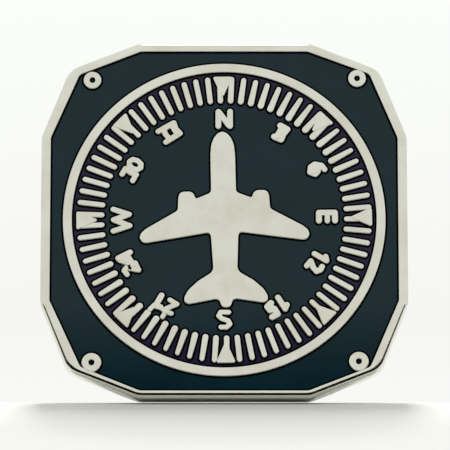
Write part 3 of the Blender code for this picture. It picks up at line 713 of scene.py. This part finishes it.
def matt_paper(finish):
    """Matt white sweep paper with a faint tooth."""
    material, tree, shader = new_material("matt_white_paper")
    place = add(tree, "ShaderNodeTexCoord").outputs["Object"]
    tooth = scaled_noise(tree, place, 0.5, 2.0, 0.5)
    base = tuple(finish.floor)
    tree.links.new(mixed(tree, tooth, base, tuple(c * 0.985 for c in base)), shader.inputs["Base Color"])
    shader.inputs["Roughness"].default_value = 0.9
    shader.inputs["Specular IOR Level"].default_value = 0.1
    return material


# The plate and its relief


def field_half():
    """Half the width of the enamelled field."""
    return FIELD_BOX[1].x + bpy.context.scene.pin_plate.clearance


def even_corners():
    """Corners of the square with two facets at each corner, anticlockwise."""
    plate = bpy.context.scene.pin_plate
    half = field_half()
    start = half - plate.facet_reach
    corner = half - plate.corner_inset
    quarter = [(half, start), (corner, corner), (start, half)]
    points = []
    for turn in range(4):
        spin = Matrix.Rotation(math.pi / 2 * turn, 2)
        points += [tuple(spin @ Vector(point)) for point in quarter]
    return points


def recess_corners():
    """Corners of the recess, which sits a little low in the plate."""
    skew = bpy.context.scene.pin_plate.skew
    points = even_corners()
    for i, (x, y) in enumerate(points):
        points[i] = (x, y - skew if y < -field_half() * 0.9 else y)
    for turn, (x, y) in enumerate(RECESS_CORNERS):
        points[3 * turn + 1] = (x * MM, y * MM)
    return points


def plate_outline(growth):
    """The outline at a distance outside the recess; it turns into the plate's own across the rim."""
    plate = bpy.context.scene.pin_plate
    share = min(max(growth / plate.flat_width, 0.0), 1.0)
    radius = plate.field_radius + (plate.rim_radius - plate.field_radius) * share
    pairs = zip(grown(recess_corners(), growth), grown(even_corners(), growth))
    return rounded([tuple(Vector(own).lerp(Vector(even), share)) for own, even in pairs], radius, 6)


def relief_profile():
    """Raised metal from its root to its top, with a rounded edge."""
    plate = bpy.context.scene.pin_plate
    edge = plate.relief_rounding
    floor = PLATE_FRONT - plate.recess_depth
    line = [(0.0, floor - edge, 0.0), (0.0, PLATE_FRONT, edge), (-2 * edge, PLATE_FRONT, 0.0)]
    return rounded_line(line, 4)[:-1]


def enamel_edge_profile(sign):
    """The enamel's rounded fall beside metal: outward for a sheet's edge, inward for a hole through it."""
    plate = bpy.context.scene.pin_plate
    across = -sign * HIDDEN_EDGE
    low = ENAMEL_TOP - plate.enamel_dip
    fall = [(across, ENAMEL_BOTTOM - HIDDEN_EDGE * (sign > 0)), (across, low)]
    for step in range(6):
        turn = math.pi / 2 * step / 5
        across = plate.enamel_roll * (1 - math.cos(turn))
        fall.append((sign * across, low + plate.enamel_dip * math.sin(turn)))
    return fall


def sheet_profile():
    return enamel_edge_profile(-1)


def hole_profile():
    top = enamel_edge_profile(1)
    return [*top, (top[-1][0] * 1.5, PLATE_FRONT)]


def tick_angle(index):
    dial = bpy.context.scene.pin_dial
    even = dial.first_tick + index * 360.0 / dial.tick_count
    return even - dial.tick_drift * math.sin(math.radians(even + dial.drift_phase))


def dial_radii():
    """Ring, tick, numeral and airliner radii, from the ring inward."""
    dial = bpy.context.scene.pin_dial
    ring_inner = DIAL_BOX[1].x + bpy.context.scene.pin_plate.clearance
    tick_outer = ring_inner - dial.tick_gap
    tick_inner = tick_outer - dial.tick_length
    numeral_centre = tick_inner - dial.numeral_gap - dial.numeral_height / 2
    return {
        "ring_outer": ring_inner + dial.ring_width,
        "ring_inner": ring_inner,
        "tick_outer": tick_outer,
        "tick_inner": tick_inner,
        "numerals": numeral_centre,
        "aircraft": numeral_centre - dial.numeral_height / 2 - dial.aircraft_gap,
    }


def tick_shapes():
    """Each tick as a function from growth to outline; those north-east and south-west swell inward."""
    dial = bpy.context.scene.pin_dial
    radii = dial_radii()
    for index in range(dial.tick_count):
        angle = tick_angle(index)
        swell = max(0.0, math.cos(math.radians(2 * (angle - 40))))
        inner_radius = dial.tick_width / 2 * (0.98 + 0.24 * swell)
        outer_radius = dial.tick_width / 2 * (0.98 - 0.10 * swell)
        inner = around_dial(angle, radii["tick_inner"] + inner_radius)
        outer = around_dial(angle, radii["tick_outer"] - outer_radius)
        yield lambda growth, a=outer, b=inner, r=outer_radius, s=inner_radius: stadium(
            a, b, r + growth, s + growth, 6
        )


def wedge_shapes():
    dial = bpy.context.scene.pin_dial
    radii = dial_radii()
    for index in range(dial.wedge_count):
        angle = index * 360.0 / dial.wedge_count + dial.wedge_turn
        tip = around_dial(angle, radii["tick_outer"] - dial.wedge_length)
        right = around_dial(angle, radii["tick_outer"], dial.wedge_width / 2)
        left = around_dial(angle, radii["tick_outer"], -dial.wedge_width / 2)
        outline = rounded([tip, right, left], WEDGE_ROUNDING, 4)
        yield lambda growth, outline=outline: grown(outline, growth)


def numeral_shapes():
    dial = bpy.context.scene.pin_dial
    unit = dial.numeral_height / NUMERAL_UNITS
    centre = dial_radii()["numerals"]
    for angle, strokes in NUMERALS.items():
        for half_width, points in strokes:
            places = [around_dial(angle, centre + y * unit, x * unit) for x, y in points]
            radius = half_width * unit
            for start, end in zip(places, places[1:]):
                yield lambda growth, a=start, b=end, r=radius: stadium(a, b, r + growth, r + growth, 7)


def aircraft_shape():
    dial = bpy.context.scene.pin_dial
    left = [(-x, y) for x, y in AIRCRAFT_HALF[1:]]
    turn = Matrix.Rotation(math.radians(dial.aircraft_turn), 2) * dial_radii()["aircraft"]
    corners = [tuple(turn @ Vector(point)) for point in left + list(AIRCRAFT_HALF[::-1])]
    outline = softened(corners, AIRCRAFT_SOFTENING, 4)
    return lambda growth: grown(outline, growth)


def screw_heads():
    """Name, centre and radius of each screw head; the artwork has them a little out of square."""
    dial = bpy.context.scene.pin_dial
    heads = []
    for name, (x, y) in SCREW_CENTRES.items():
        radius = dial.screw_top_radius if y > 0 else dial.screw_bottom_radius
        heads.append((name, (x * MM, y * MM), radius))
    return heads


def annulus_rings(centre, outer, inner, profile, steps):
    """Rings of a raised band: up its outer wall, over the top and down its inner wall."""
    rings = [[(x, y, z) for x, y in circle(centre, outer + d, steps)] for d, z in profile]
    rings += [[(x, y, z) for x, y in circle(centre, inner - d, steps)] for d, z in reversed(profile)]
    return rings


def put_metal(name, mesh, angle=40.0):
    """Stands bare metal of the pin in the frame."""
    nickel = bpy.data.materials["polished_nickel_plate"]
    put(name, mesh, UPRIGHT, "pin", ["pin_body"], nickel, angle, True)


def put_enamel(name, mesh, nodes, material):
    """Stands enamel in the frame, with painted shade: a blacker copy of the enamel along its edges."""
    edge = bpy.data.materials["stoved_black_enamel_painted_shade"]
    enamel = bpy.data.materials[material]
    put(name, mesh, UPRIGHT, "pin", nodes, enamel, 40.0, True, edge)


class PIN_OT_plate(bpy.types.Operator):
    """Adds the struck plate with its rim and recess"""

    bl_idname = "heading_pin.plate"
    bl_label = "Add Plate"

    def execute(self, context):
        plate = context.scene.pin_plate
        outer = PLATE_HALF - field_half()
        floor = PLATE_FRONT - plate.recess_depth
        line = [
            (-plate.rim_width, 0.0, 0.0),
            (outer, 0.0, plate.back_rounding),
            (outer, PLATE_FRONT - plate.bevel_depth, plate.side_rounding),
            (outer - plate.bevel_width, PLATE_FRONT, plate.front_rounding),
            (0.0, PLATE_FRONT, plate.relief_rounding),
            (0.0, floor, 0.0),
            (-plate.rim_width, floor, 0.0),
        ]
        put_metal("struck_plate", shells([stacked(plate_outline, rounded_line(line, 7))]), 30.0)
        return {"FINISHED"}


class PIN_OT_relief(bpy.types.Operator):
    """Adds the ring, ticks, wedges, numerals, airliner and screw heads"""

    bl_idname = "heading_pin.relief"
    bl_label = "Add Relief"

    def execute(self, context):
        radii = dial_radii()
        dial = context.scene.pin_dial
        profile = relief_profile()
        outer, inner = radii["ring_outer"], radii["ring_inner"]
        ring = shells([annulus_rings((0, 0), outer, inner, profile, DIAL_STEPS)], True)
        ticks = [stacked(shape, nudged(profile, 6)) for shape in tick_shapes()]
        others = [stacked(shape, profile) for shape in wedge_shapes()]
        others += [stacked(shape, nudged(profile, i)) for i, shape in enumerate(numeral_shapes())]
        marks = combined(shells(ticks), shells(others), "UNION")
        airliner = shells([stacked(aircraft_shape(), profile)])
        for name, mesh in (("dial_ring", ring), ("dial_marks", marks), ("airliner", airliner)):
            put_metal(name, mesh)
        for name, centre, radius in screw_heads():
            rings = annulus_rings(centre, radius, dial.screw_dot, profile, HEAD_STEPS)
            put_metal(f"screw_head_{name}", shells([rings], True))
        return {"FINISHED"}


class PIN_OT_enamel(bpy.types.Operator):
    """Adds the enamel on the field, on the dial and in the screw heads"""

    bl_idname = "heading_pin.enamel"
    bl_label = "Add Enamel"

    def execute(self, context):
        radii = dial_radii()
        dial = context.scene.pin_dial
        sheet = shells([stacked(plate_outline, sheet_profile())])
        holes = [stacked(round_outline((0, 0), radii["ring_outer"], DIAL_STEPS), hole_profile())]
        for _, centre, radius in screw_heads():
            holes.append(stacked(round_outline(centre, radius, HEAD_STEPS), hole_profile()))
        field = combined(sheet, shells(holes), "DIFFERENCE")
        put_enamel("enamel_outer_field", field, ["enamel_field"], "stoved_black_enamel")

        disc = shells([stacked(round_outline((0, 0), radii["ring_inner"], DIAL_STEPS), sheet_profile())])
        shapes = (*tick_shapes(), *wedge_shapes(), *numeral_shapes(), aircraft_shape())
        holes = [stacked(shape, nudged(hole_profile(), i)) for i, shape in enumerate(shapes)]
        face = combined(disc, shells(holes), "DIFFERENCE")
        nodes = ["enamel_dial", "enamel_counter_30", "enamel_counter_33"]
        put_enamel("enamel_dial_face", face, nodes, "stoved_black_enamel_dial")

        for name, centre, _ in screw_heads():
            dot = shells([stacked(round_outline(centre, dial.screw_dot, DOT_STEPS), sheet_profile())])
            put_enamel(f"enamel_fill_{name}", dot, [f"enamel_dot_{name}"], "stoved_black_enamel")
        return {"FINISHED"}


# Posts and clutches

AXIS_GAP = 0.02 * MM  # radius of the tiny flats that close a turned shape on its axis
GROOVE_SETBACK = 0.7 * MM  # from a post's shoulder to the middle of its last groove
GROOVE_SPACING = 0.4 * MM
GROOVE_MOUTH = 0.16 * MM  # half the groove's width at the shank
GROOVE_FLOOR = 0.09 * MM
POINT_RADIUS = 0.14 * MM
SOLDER_SECTION = ((-0.05, 1.0), (0.12, 0.93), (0.35, 0.55), (0.65, 0.25), (1.0, 0.0), (-0.05, 0.0))
SOLDER_STEPS = 72
SOLDER_LUMP = 0.16

DISC_STEPS = 96
BASE_HOLE_CLEARANCE = 0.12 * MM
DISH_RADIUS = 2.7 * MM
DISH_DEPTH = 0.08 * MM
BEAD_INSET = 1.35 * MM  # from the disc's edge to the middle of the pressed bead
BEAD_FOOT = 0.42 * MM  # half the bead's width at its foot and at its top
BEAD_TOP = 0.2 * MM
BEAD_HEIGHT = 0.12 * MM

STRIP_STEP = 0.25 * MM  # spacing of the rings along the bridge, the wings and the lips
WING_STEP = 0.22 * MM
LIP_STEP = 0.3 * MM
SHEET_EDGE = 0.1 * MM  # rounding of the wings' cut edges
BRIDGE_EDGE = 0.09 * MM
BRIDGE_BEND = 0.38 * MM

WING_CLEARANCE = 0.15 * MM  # between a wing and the inside of the bridge
EAR_RISE = 0.2 * MM  # from the bridge's top to where the ear starts
EAR_BEND_REACH = 1.05 * MM  # from the ear's end to its bend, across and down
EAR_BEND_DROP = 1.35 * MM
EAR_END_INSET = 0.12 * MM
EAR_END_DROP = 0.10 * MM
EAR_FLARE = 0.9 * MM
EAR_TIP_RADIUS = 1.7 * MM
LIP_HEIGHT = 0.95 * MM
TAB_HALF = 0.16
TAB_ROUNDING = 0.06

SPRING_SEGMENTS = 60
SPRING_END = 0.6  # share of the wire's radius that is left at its rounded ends


def hardware_place(x):
    """Lays a shape drawn with its axis along Z onto the back of the plate, its axis along +Y."""
    return Matrix.Translation((x, 0.0, 0.0)) @ Matrix.Rotation(-math.pi / 2, 4, "X")


def centre_x(node):
    """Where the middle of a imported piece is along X."""
    low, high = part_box(node)
    return (low.x + high.x) / 2


def put_clutch(name, mesh, place, body, node, angle=35.0):
    """Stands a sheet metal piece of a clutch in the frame."""
    nickel = bpy.data.materials["stamped_nickel_sheet"]
    put(name, mesh, place, body, [node], nickel, angle)


class PIN_OT_posts(bpy.types.Operator):
    """Adds the two posts and the solder that holds them"""

    bl_idname = "heading_pin.posts"
    bl_label = "Add Posts"

    def execute(self, context):
        sizes = context.scene.pin_hardware
        for side in SIDES:
            low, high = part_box(f"post_{side}")
            shank = sizes.post_radius
            pad = (high.x - low.x) / 2
            pad_top = low.y + sizes.pad_thickness
            shoulder = high.y - sizes.point_length
            line = [
                (AXIS_GAP, low.y, 0.0),
                (pad, low.y, 0.03 * MM),
                (pad, pad_top, 0.08 * MM),
                (shank, pad_top, 0.26 * MM),
            ]
            groove = shoulder - GROOVE_SETBACK
            for height in (groove - GROOVE_SPACING, groove):
                floor = shank - sizes.groove_depth
                line += [
                    (shank, height - GROOVE_MOUTH, 0.02 * MM),
                    (floor, height - GROOVE_FLOOR, 0.02 * MM),
                    (floor, height + GROOVE_FLOOR, 0.02 * MM),
                    (shank, height + GROOVE_MOUTH, 0.02 * MM),
                ]
            line += [
                (shank, shoulder, 0.5 * MM),
                (POINT_RADIUS, high.y, 0.1 * MM),
                (AXIS_GAP, high.y, 0.0),
            ]
            mesh = shells([turned_rings(rounded_line(line), HEAD_STEPS)])
            place = hardware_place(centre_x(f"post_{side}"))
            steel = bpy.data.materials["drawn_steel_wire"]
            put(f"turned_post_{side}", mesh, place, "pin", [f"post_{side}"], steel, 35.0)
            mesh = shells([self.solder_rings(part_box(f"solder_{side}"), pad)], True)
            solder = bpy.data.materials["tin_solder"]
            put(f"solder_fillet_{side}", mesh, place, "pin", [f"solder_{side}"], solder, 50.0)
        return {"FINISHED"}

    def solder_rings(self, box, pad):
        """Rings of the lumpy solder round a post's pad."""
        low, high = box
        reach = (high.x - low.x) / 2
        rings = []
        for across, height in SOLDER_SECTION:
            level = low.y + (high.y - low.y) * height
            ring = []
            for step in range(SOLDER_STEPS):
                turn = 2 * math.pi * step / SOLDER_STEPS
                wave = 1 + math.sin(3 * turn + 1) * math.sin(5 * turn)
                lump = 1 - SOLDER_LUMP * max(across, 0.0) * wave
                radius = pad + (reach - pad) * across * lump
                ring.append((radius * math.cos(turn), radius * math.sin(turn), level))
            rings.append(ring)
        return rings


def strip_rings(path, half_widths, thickness, edge):
    """Rings along a bent strip of sheet metal. The path is (across, height) points of its middle."""
    rings = []
    for i, point in enumerate(path):
        here = Vector(point)
        ahead = Vector(path[min(i + 1, len(path) - 1)])
        behind = Vector(path[max(i - 1, 0)])
        along = (ahead - behind).normalized()
        normal = Vector((along.y, -along.x))
        half = half_widths[i]
        corner = min(edge, half * 0.9)
        box = [(-thickness / 2, -half), (thickness / 2, -half), (thickness / 2, half), (-thickness / 2, half)]
        section = rounded(box, corner, 3)
        rings.append([(here.x + normal.x * s, w, here.y + normal.y * s) for s, w in section])
    return rings


def along_line(points, step):
    """The line's points with more added, so that none are further apart than step."""
    dense = [Vector(points[0])]
    for point in points[1:]:
        target = Vector(point)
        count = max(1, math.ceil((target - dense[-1]).length / step))
        start = dense[-1]
        dense += [start.lerp(target, (i + 1) / count) for i in range(count)]
    return [tuple(point) for point in dense]


class PIN_OT_clutches(bpy.types.Operator):
    """Adds the two butterfly clutches: disc, bridge, two wings and grip spring each"""

    bl_idname = "heading_pin.clutches"
    bl_label = "Add Clutches"

    def execute(self, context):
        for side in SIDES:
            self.add_disc(context, side)
            self.add_bridge(context, side)
            for wing in SIDES:
                self.add_wing(context, side, wing)
            self.add_spring(context, side)
        return {"FINISHED"}

    def add_disc(self, context, side):
        """The round base with its rolled rim, dished middle and pressed bead."""
        sizes = context.scene.pin_hardware
        node = f"clutch_{side}_base"
        low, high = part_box(node)
        radius = (high.x - low.x) / 2
        sheet = sizes.sheet
        hole = sizes.post_radius + BASE_HOLE_CLEARANCE
        bead = radius - BEAD_INSET
        line = [
            (hole, low.y + sheet * 0.6, 0.0),
            (hole, low.y + sheet, 0.05 * MM),
            (bead - BEAD_FOOT, low.y + sheet, 0.15 * MM),
            (bead - BEAD_TOP, low.y + sheet + BEAD_HEIGHT, 0.12 * MM),
            (bead + BEAD_TOP, low.y + sheet + BEAD_HEIGHT, 0.12 * MM),
            (bead + BEAD_FOOT, low.y + sheet, 0.15 * MM),
            (radius - sheet, low.y + sheet, 0.16 * MM),
            (radius - sheet, high.y, 0.14 * MM),
            (radius, high.y, 0.14 * MM),
            (radius, low.y, 0.32 * MM),
            (DISH_RADIUS, low.y, 0.1 * MM),
            (DISH_RADIUS - DISH_DEPTH, low.y + DISH_DEPTH, 0.1 * MM),
            (hole, low.y + DISH_DEPTH, 0.05 * MM),
            (hole, low.y + sheet * 0.5, 0.0),
        ]
        mesh = shells([turned_rings(rounded_line(line), DISC_STEPS)], True)
        put_clutch(f"clutch_{side}_disc", mesh, hardware_place(centre_x(node)), f"clutch_{side}", node)

    def add_bridge(self, context, side):
        """The bent cover over the jaws, with the post's hole and the wings' pivot holes."""
        sizes = context.scene.pin_hardware
        node = f"clutch_{side}_housing"
        low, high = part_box(node)
        half_sheet = sizes.sheet / 2
        half_length = (high.x - low.x) / 2
        half_top = sizes.bridge_length / 2
        wall = high.z - half_sheet
        top = high.y - half_sheet
        bend = BRIDGE_BEND
        line = [(-wall, low.y, 0.0), (-wall, top, bend), (wall, top, bend), (wall, low.y, 0.0)]
        path = along_line(rounded_line(line, 6), STRIP_STEP)
        widths = []
        for across, _ in path:
            share = min(max((abs(across) - (wall - 2.2 * bend)) / (2.0 * bend), 0.0), 1.0)
            widths.append(half_top + (half_length - half_top) * share * share * (3 - 2 * share))
        mesh = shells([strip_rings(path, widths, sizes.sheet, BRIDGE_EDGE)])
        mesh.transform(Matrix.Rotation(math.pi / 2, 4, "Z"))
        cutter = bmesh.new()
        drill = [(sizes.post_hole, top - sizes.sheet), (sizes.post_hole, top + sizes.sheet)]
        loft(cutter, turned_rings(drill, HEAD_STEPS))
        for joint in frame["joints"]:
            if joint["parent"] != f"clutch_{side}":
                continue
            x, y, _ = joint["pos_m"]
            across = x - centre_x(node)
            pin = circle((0, 0), sizes.pivot_hole, 32)
            rings = [[(across + a, reach, y + b) for a, b in pin] for reach in (-high.z * 1.1, high.z * 1.1)]
            loft(cutter, rings)
        mesh = combined(mesh, mesh_of(cutter), "DIFFERENCE")
        put_clutch(f"clutch_{side}_bridge", mesh, hardware_place(centre_x(node)), f"clutch_{side}", node)

    def add_wing(self, context, side, wing):
        """One wing: jaw with its lip, upright with pivot tabs, and curved ear."""
        sizes = context.scene.pin_hardware
        node = f"clutch_{side}_wing_{wing}"
        low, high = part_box(node)
        joint = next(j for j in frame["joints"] if j["child"] == node)
        x, y, _ = joint["pos_m"]
        away = 1 if wing == "right" else -1
        centre = centre_x(f"clutch_{side}_base")
        half_sheet = sizes.sheet / 2
        _, housing_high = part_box(f"clutch_{side}_housing")
        jaw_end = (low.x - centre) if away > 0 else (centre - high.x)
        pivot = (x - centre) * away
        ear_end = (high.x - centre) if away > 0 else (centre - low.x)
        jaw_level = low.y + half_sheet
        half_inside = housing_high.z - sizes.sheet - WING_CLEARANCE
        ear_start = housing_high.y + EAR_RISE
        line = [
            (jaw_end, jaw_level, 0.0),
            (pivot, jaw_level, 0.25 * MM),
            (pivot, ear_start, 0.9 * MM),
            (ear_end - EAR_BEND_REACH, high.y - EAR_BEND_DROP, 1.2 * MM),
            (ear_end - EAR_END_INSET, high.y - EAR_END_DROP, 0.0),
        ]
        path = along_line(rounded_line(line, 8), WING_STEP)
        travelled = [0.0]
        for a, b in zip(path, path[1:]):
            travelled.append(travelled[-1] + (Vector(b) - Vector(a)).length)
        flare_from = next(t for t, p in zip(travelled, path) if p[1] > ear_start)
        full = sizes.ear_width / 2
        widths = []
        for distance in travelled:
            half = half_inside
            if distance > flare_from:
                share = min((distance - flare_from) / EAR_FLARE, 1.0)
                half += (full - half_inside) * math.sin(share * math.pi / 2)
            left = travelled[-1] - distance
            radius = EAR_TIP_RADIUS
            if left < radius:
                half -= radius - math.sqrt(max(radius**2 - (radius - left) ** 2, 0.0))
            widths.append(half)
        shape = bmesh.new()
        loft(shape, strip_rings(path, widths, sizes.sheet, SHEET_EDGE))
        lip_x = jaw_end + half_sheet
        lip = along_line([(lip_x, jaw_level), (lip_x, jaw_level + LIP_HEIGHT)], LIP_STEP)
        loft(shape, strip_rings(lip, [sizes.jaw_lip / 2] * len(lip), sizes.sheet, SHEET_EDGE))
        corners = [(-TAB_HALF, -TAB_HALF), (TAB_HALF, -TAB_HALF), (TAB_HALF, TAB_HALF), (-TAB_HALF, TAB_HALF)]
        tab = rounded(corners, TAB_ROUNDING, 3)
        reach = housing_high.z - sizes.sheet * 0.25
        loft(shape, [[(pivot + a * MM, w, y + b * MM) for a, b in tab] for w in (-reach, reach)])
        mesh = mesh_of(shape)
        turn = Matrix.Rotation(0.0 if away > 0 else math.pi, 4, "Z")
        put_clutch(f"clutch_{side}_ear_{wing}", mesh, hardware_place(centre) @ turn, node, node, 40.0)

    def add_spring(self, context, side):
        """The wire ring, open on one side, that pulls the jaws together."""
        sizes = context.scene.pin_hardware
        node = f"clutch_{side}_grip_spring"
        low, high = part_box(node)
        radius = (high.x - low.x) / 2 - sizes.spring_wire
        height = (low.y + high.y) / 2
        mouth = math.radians(sizes.spring_mouth)
        rings = []
        for i in range(SPRING_SEGMENTS + 1):
            angle = math.pi / 2 + mouth / 2 + (2 * math.pi - mouth) * i / SPRING_SEGMENTS
            wire = sizes.spring_wire * (SPRING_END if i in (0, SPRING_SEGMENTS) else 1.0)
            out = Vector((math.cos(angle), math.sin(angle), 0.0))
            section = circle((0, 0), wire, 16)
            rings.append([tuple(out * (radius + a) + Vector((0, 0, height + b))) for a, b in section])
        mesh = shells([rings])
        steel = bpy.data.materials["drawn_steel_wire"]
        place = hardware_place(centre_x(node))
        put(f"clutch_{side}_wire_ring", mesh, place, f"clutch_{side}", [node], steel, 50.0)


# The stage

FLOOR_GAP = 0.01 * MM  # between the pin's lower edge and the floor
FLOOR_REACH = 1500.0 * MM
FLOOR_FALL = 120.0 * MM  # how far the floor drops in front of the pin
FLOOR_BEND = 150.0 * MM  # radius of the bend at the foot of the slope
CARD_HALF_WIDTH = 190.0 * MM
CARD_DISTANCE = 60.0 * MM  # in front of the plate's back
CARD_TOP = -10.0 * MM
CARD_BOTTOM = -62.0 * MM
HORIZON = 0.2294  # upward part of the view direction where the floor meets the sky in the main view


def black_card():
    """Matt black card."""
    material, tree, shader = new_material("black_card")
    shader.inputs["Base Color"].default_value = (0.002, 0.002, 0.002, 1.0)
    shader.inputs["Roughness"].default_value = 1.0
    shader.inputs["Specular IOR Level"].default_value = 0.0
    return material


class PIN_OT_materials(bpy.types.Operator):
    """Makes the materials"""

    bl_idname = "heading_pin.materials"
    bl_label = "Make Materials"

    def execute(self, context):
        finish = context.scene.pin_finishes
        radii = dial_radii()
        polished_nickel(finish)
        black_enamel(finish)
        painted_shade_enamel(finish)
        black_enamel(finish, (radii["tick_inner"] - 0.2 * MM, radii["tick_inner"] + 0.5 * MM))
        stamped_nickel(finish)
        drawn_steel(finish)
        tin_solder(finish)
        matt_paper(finish)
        black_card()
        return {"FINISHED"}


class PIN_OT_stage(bpy.types.Operator):
    """Adds the floor, lights and camera"""

    bl_idname = "heading_pin.stage"
    bl_label = "Add Stage"

    def execute(self, context):
        self.add_floor(context)
        self.add_lights(context)
        self.add_flag(context)
        self.add_camera(context)
        return {"FINISHED"}

    def add_floor(self, context):
        """A sweep that is level behind the pin and falls away in front, since the camera sits low."""
        sizes = context.scene.pin_stage
        slope = math.radians(sizes.slope)
        tangent = math.radians(sizes.camera_drop)
        radius = sizes.crest_radius
        foot = PLATE_BOX[0].z - FLOOR_GAP
        crest_y = radius * math.sin(tangent)
        crest_z = foot + radius * (1 - math.cos(tangent))
        line = [(FLOOR_REACH, crest_z)]
        for step in range(25):
            turn = slope * step / 24
            line.append((crest_y - radius * math.sin(turn), crest_z - radius * (1 - math.cos(turn))))
        start = Vector(line[-1])
        down = Vector((-FLOOR_FALL / math.tan(slope), -FLOOR_FALL))
        line.append(tuple(start + down * 0.7))
        centre = start + down + Vector((-FLOOR_BEND * math.tan(slope / 2), FLOOR_BEND))
        for step in range(13):
            turn = slope * (1 - step / 12)
            line.append((centre.x + FLOOR_BEND * math.sin(turn), centre.y - FLOOR_BEND * math.cos(turn)))
        line.append((line[-1][0] - FLOOR_REACH, line[-1][1]))
        shape = bmesh.new()
        rows = [[shape.verts.new((x, y, z)) for y, z in line] for x in (-FLOOR_REACH, FLOOR_REACH)]
        for i in range(len(line) - 1):
            shape.faces.new((rows[0][i + 1], rows[1][i + 1], rows[1][i], rows[0][i]))
        mesh = mesh_of(shape)
        mesh.shade_smooth()
        mesh.materials.append(bpy.data.materials["matt_white_paper"])
        floor = bpy.data.objects.new("sweep", mesh)
        context.scene.collection.objects.link(floor)

    def add_lights(self, context):
        """One soft light overhead, in a pale room that is a little greyer just above the horizon."""
        sizes = context.scene.pin_stage
        world = bpy.data.worlds.new("studio")
        context.scene.world = world
        world.use_nodes = True
        tree = world.node_tree
        tree.nodes.clear()
        direction = add(tree, "ShaderNodeTexCoord").outputs["Generated"]
        parts = add(tree, "ShaderNodeSeparateXYZ", Vector=direction)
        rise = ramped(tree, parts.outputs[2], HORIZON, 0.30)
        fall = ramped(tree, parts.outputs[2], HORIZON, 0.205)
        upper = mixed(tree, rise, linear_colour("F5F6F2"), linear_colour("FCFEFB"))
        colour = mixed(tree, fall, upper, linear_colour("FAFBF8"))
        background = add(tree, "ShaderNodeBackground", Color=colour)
        output = add(tree, "ShaderNodeOutputWorld")
        tree.links.new(background.outputs[0], output.inputs[0])
        lamp = bpy.data.lights.new("overhead_softbox", "AREA")
        lamp.size = sizes.light_size
        lamp.energy = sizes.light_power
        light = bpy.data.objects.new("overhead_softbox", lamp)
        context.scene.collection.objects.link(light)
        light.location = (0.0, sizes.light_setback, sizes.light_height)
        light.rotation_euler = (-light.location).to_track_quat("-Z", "Y").to_euler()

    def add_flag(self, context):
        """A black card low in front, seen only in reflections.

        It draws the dark line along the lower edges in the main view. From the front at other angles the
        face's metal mirrors it and looks dark.
        """
        shape = bmesh.new()
        left, right = -CARD_HALF_WIDTH, CARD_HALF_WIDTH
        corners = ((left, CARD_TOP), (right, CARD_TOP), (right, CARD_BOTTOM), (left, CARD_BOTTOM))
        shape.faces.new([shape.verts.new((x, -CARD_DISTANCE, z)) for x, z in corners])
        mesh = mesh_of(shape)
        mesh.materials.append(bpy.data.materials["black_card"])
        card = bpy.data.objects.new("black_flag", mesh)
        context.scene.collection.objects.link(card)
        card.visible_camera = False
        card.visible_diffuse = False
        card.visible_shadow = False

    def add_camera(self, context):
        """A long lens that looks up at the dial from a little below it."""
        sizes = context.scene.pin_stage
        data = bpy.data.cameras.new("camera")
        data.lens = sizes.camera_lens
        data.sensor_width = 36.0
        data.clip_start = 0.01
        data.clip_end = 10.0
        camera = bpy.data.objects.new("camera", data)
        context.scene.collection.objects.link(camera)
        drop = math.radians(sizes.camera_drop)
        outward = Vector((0.0, -math.cos(drop), -math.sin(drop)))
        up = Vector((0.0, -math.sin(drop), math.cos(drop)))
        aim = Vector((sizes.aim_right, -PLATE_FRONT, 0.0)) - up * sizes.aim_down
        camera.location = aim + outward * sizes.camera_distance
        camera.rotation_mode = "QUATERNION"
        camera.rotation_quaternion = (-outward).to_track_quat("-Z", "Y")
        context.scene.camera = camera
        context.scene.view_settings.view_transform = "Standard"


class PIN_PT_panel(bpy.types.Panel):
    """Lists the pin's pieces and their sizes"""

    bl_idname = "PIN_PT_panel"
    bl_label = "Heading Indicator Pin"
    bl_space_type = "VIEW_3D"
    bl_region_type = "UI"
    bl_category = "Heading Pin"

    def draw(self, context):
        for operator in OPERATORS:
            self.layout.operator(operator.bl_idname)
        for name in GROUPS:
            box = self.layout.box()
            group = getattr(context.scene, name)
            for key in group.bl_rna.properties.keys():
                if key not in ("rna_type", "name"):
                    box.prop(group, key)


OPERATORS = (
    PIN_OT_materials,
    PIN_OT_stage,
    PIN_OT_plate,
    PIN_OT_relief,
    PIN_OT_enamel,
    PIN_OT_posts,
    PIN_OT_clutches,
)
GROUPS = {
    "pin_plate": PlateSizes,
    "pin_dial": DialSizes,
    "pin_hardware": HardwareSizes,
    "pin_finishes": Finishes,
    "pin_stage": StageSizes,
}


def register():
    for kind in (*GROUPS.values(), *OPERATORS, PIN_PT_panel):
        bpy.utils.register_class(kind)
    for name, kind in GROUPS.items():
        setattr(bpy.types.Scene, name, PointerProperty(type=kind))


def unregister():
    for name in GROUPS:
        delattr(bpy.types.Scene, name)
    for kind in reversed((*GROUPS.values(), *OPERATORS, PIN_PT_panel)):
        bpy.utils.unregister_class(kind)


def main():
    register()
    bpy.ops.heading_pin.materials()
    bpy.ops.heading_pin.stage()
    bpy.ops.heading_pin.plate()
    bpy.ops.heading_pin.relief()
    bpy.ops.heading_pin.enamel()
    bpy.ops.heading_pin.posts()
    bpy.ops.heading_pin.clutches()


if __name__ == "__main__":
    main()
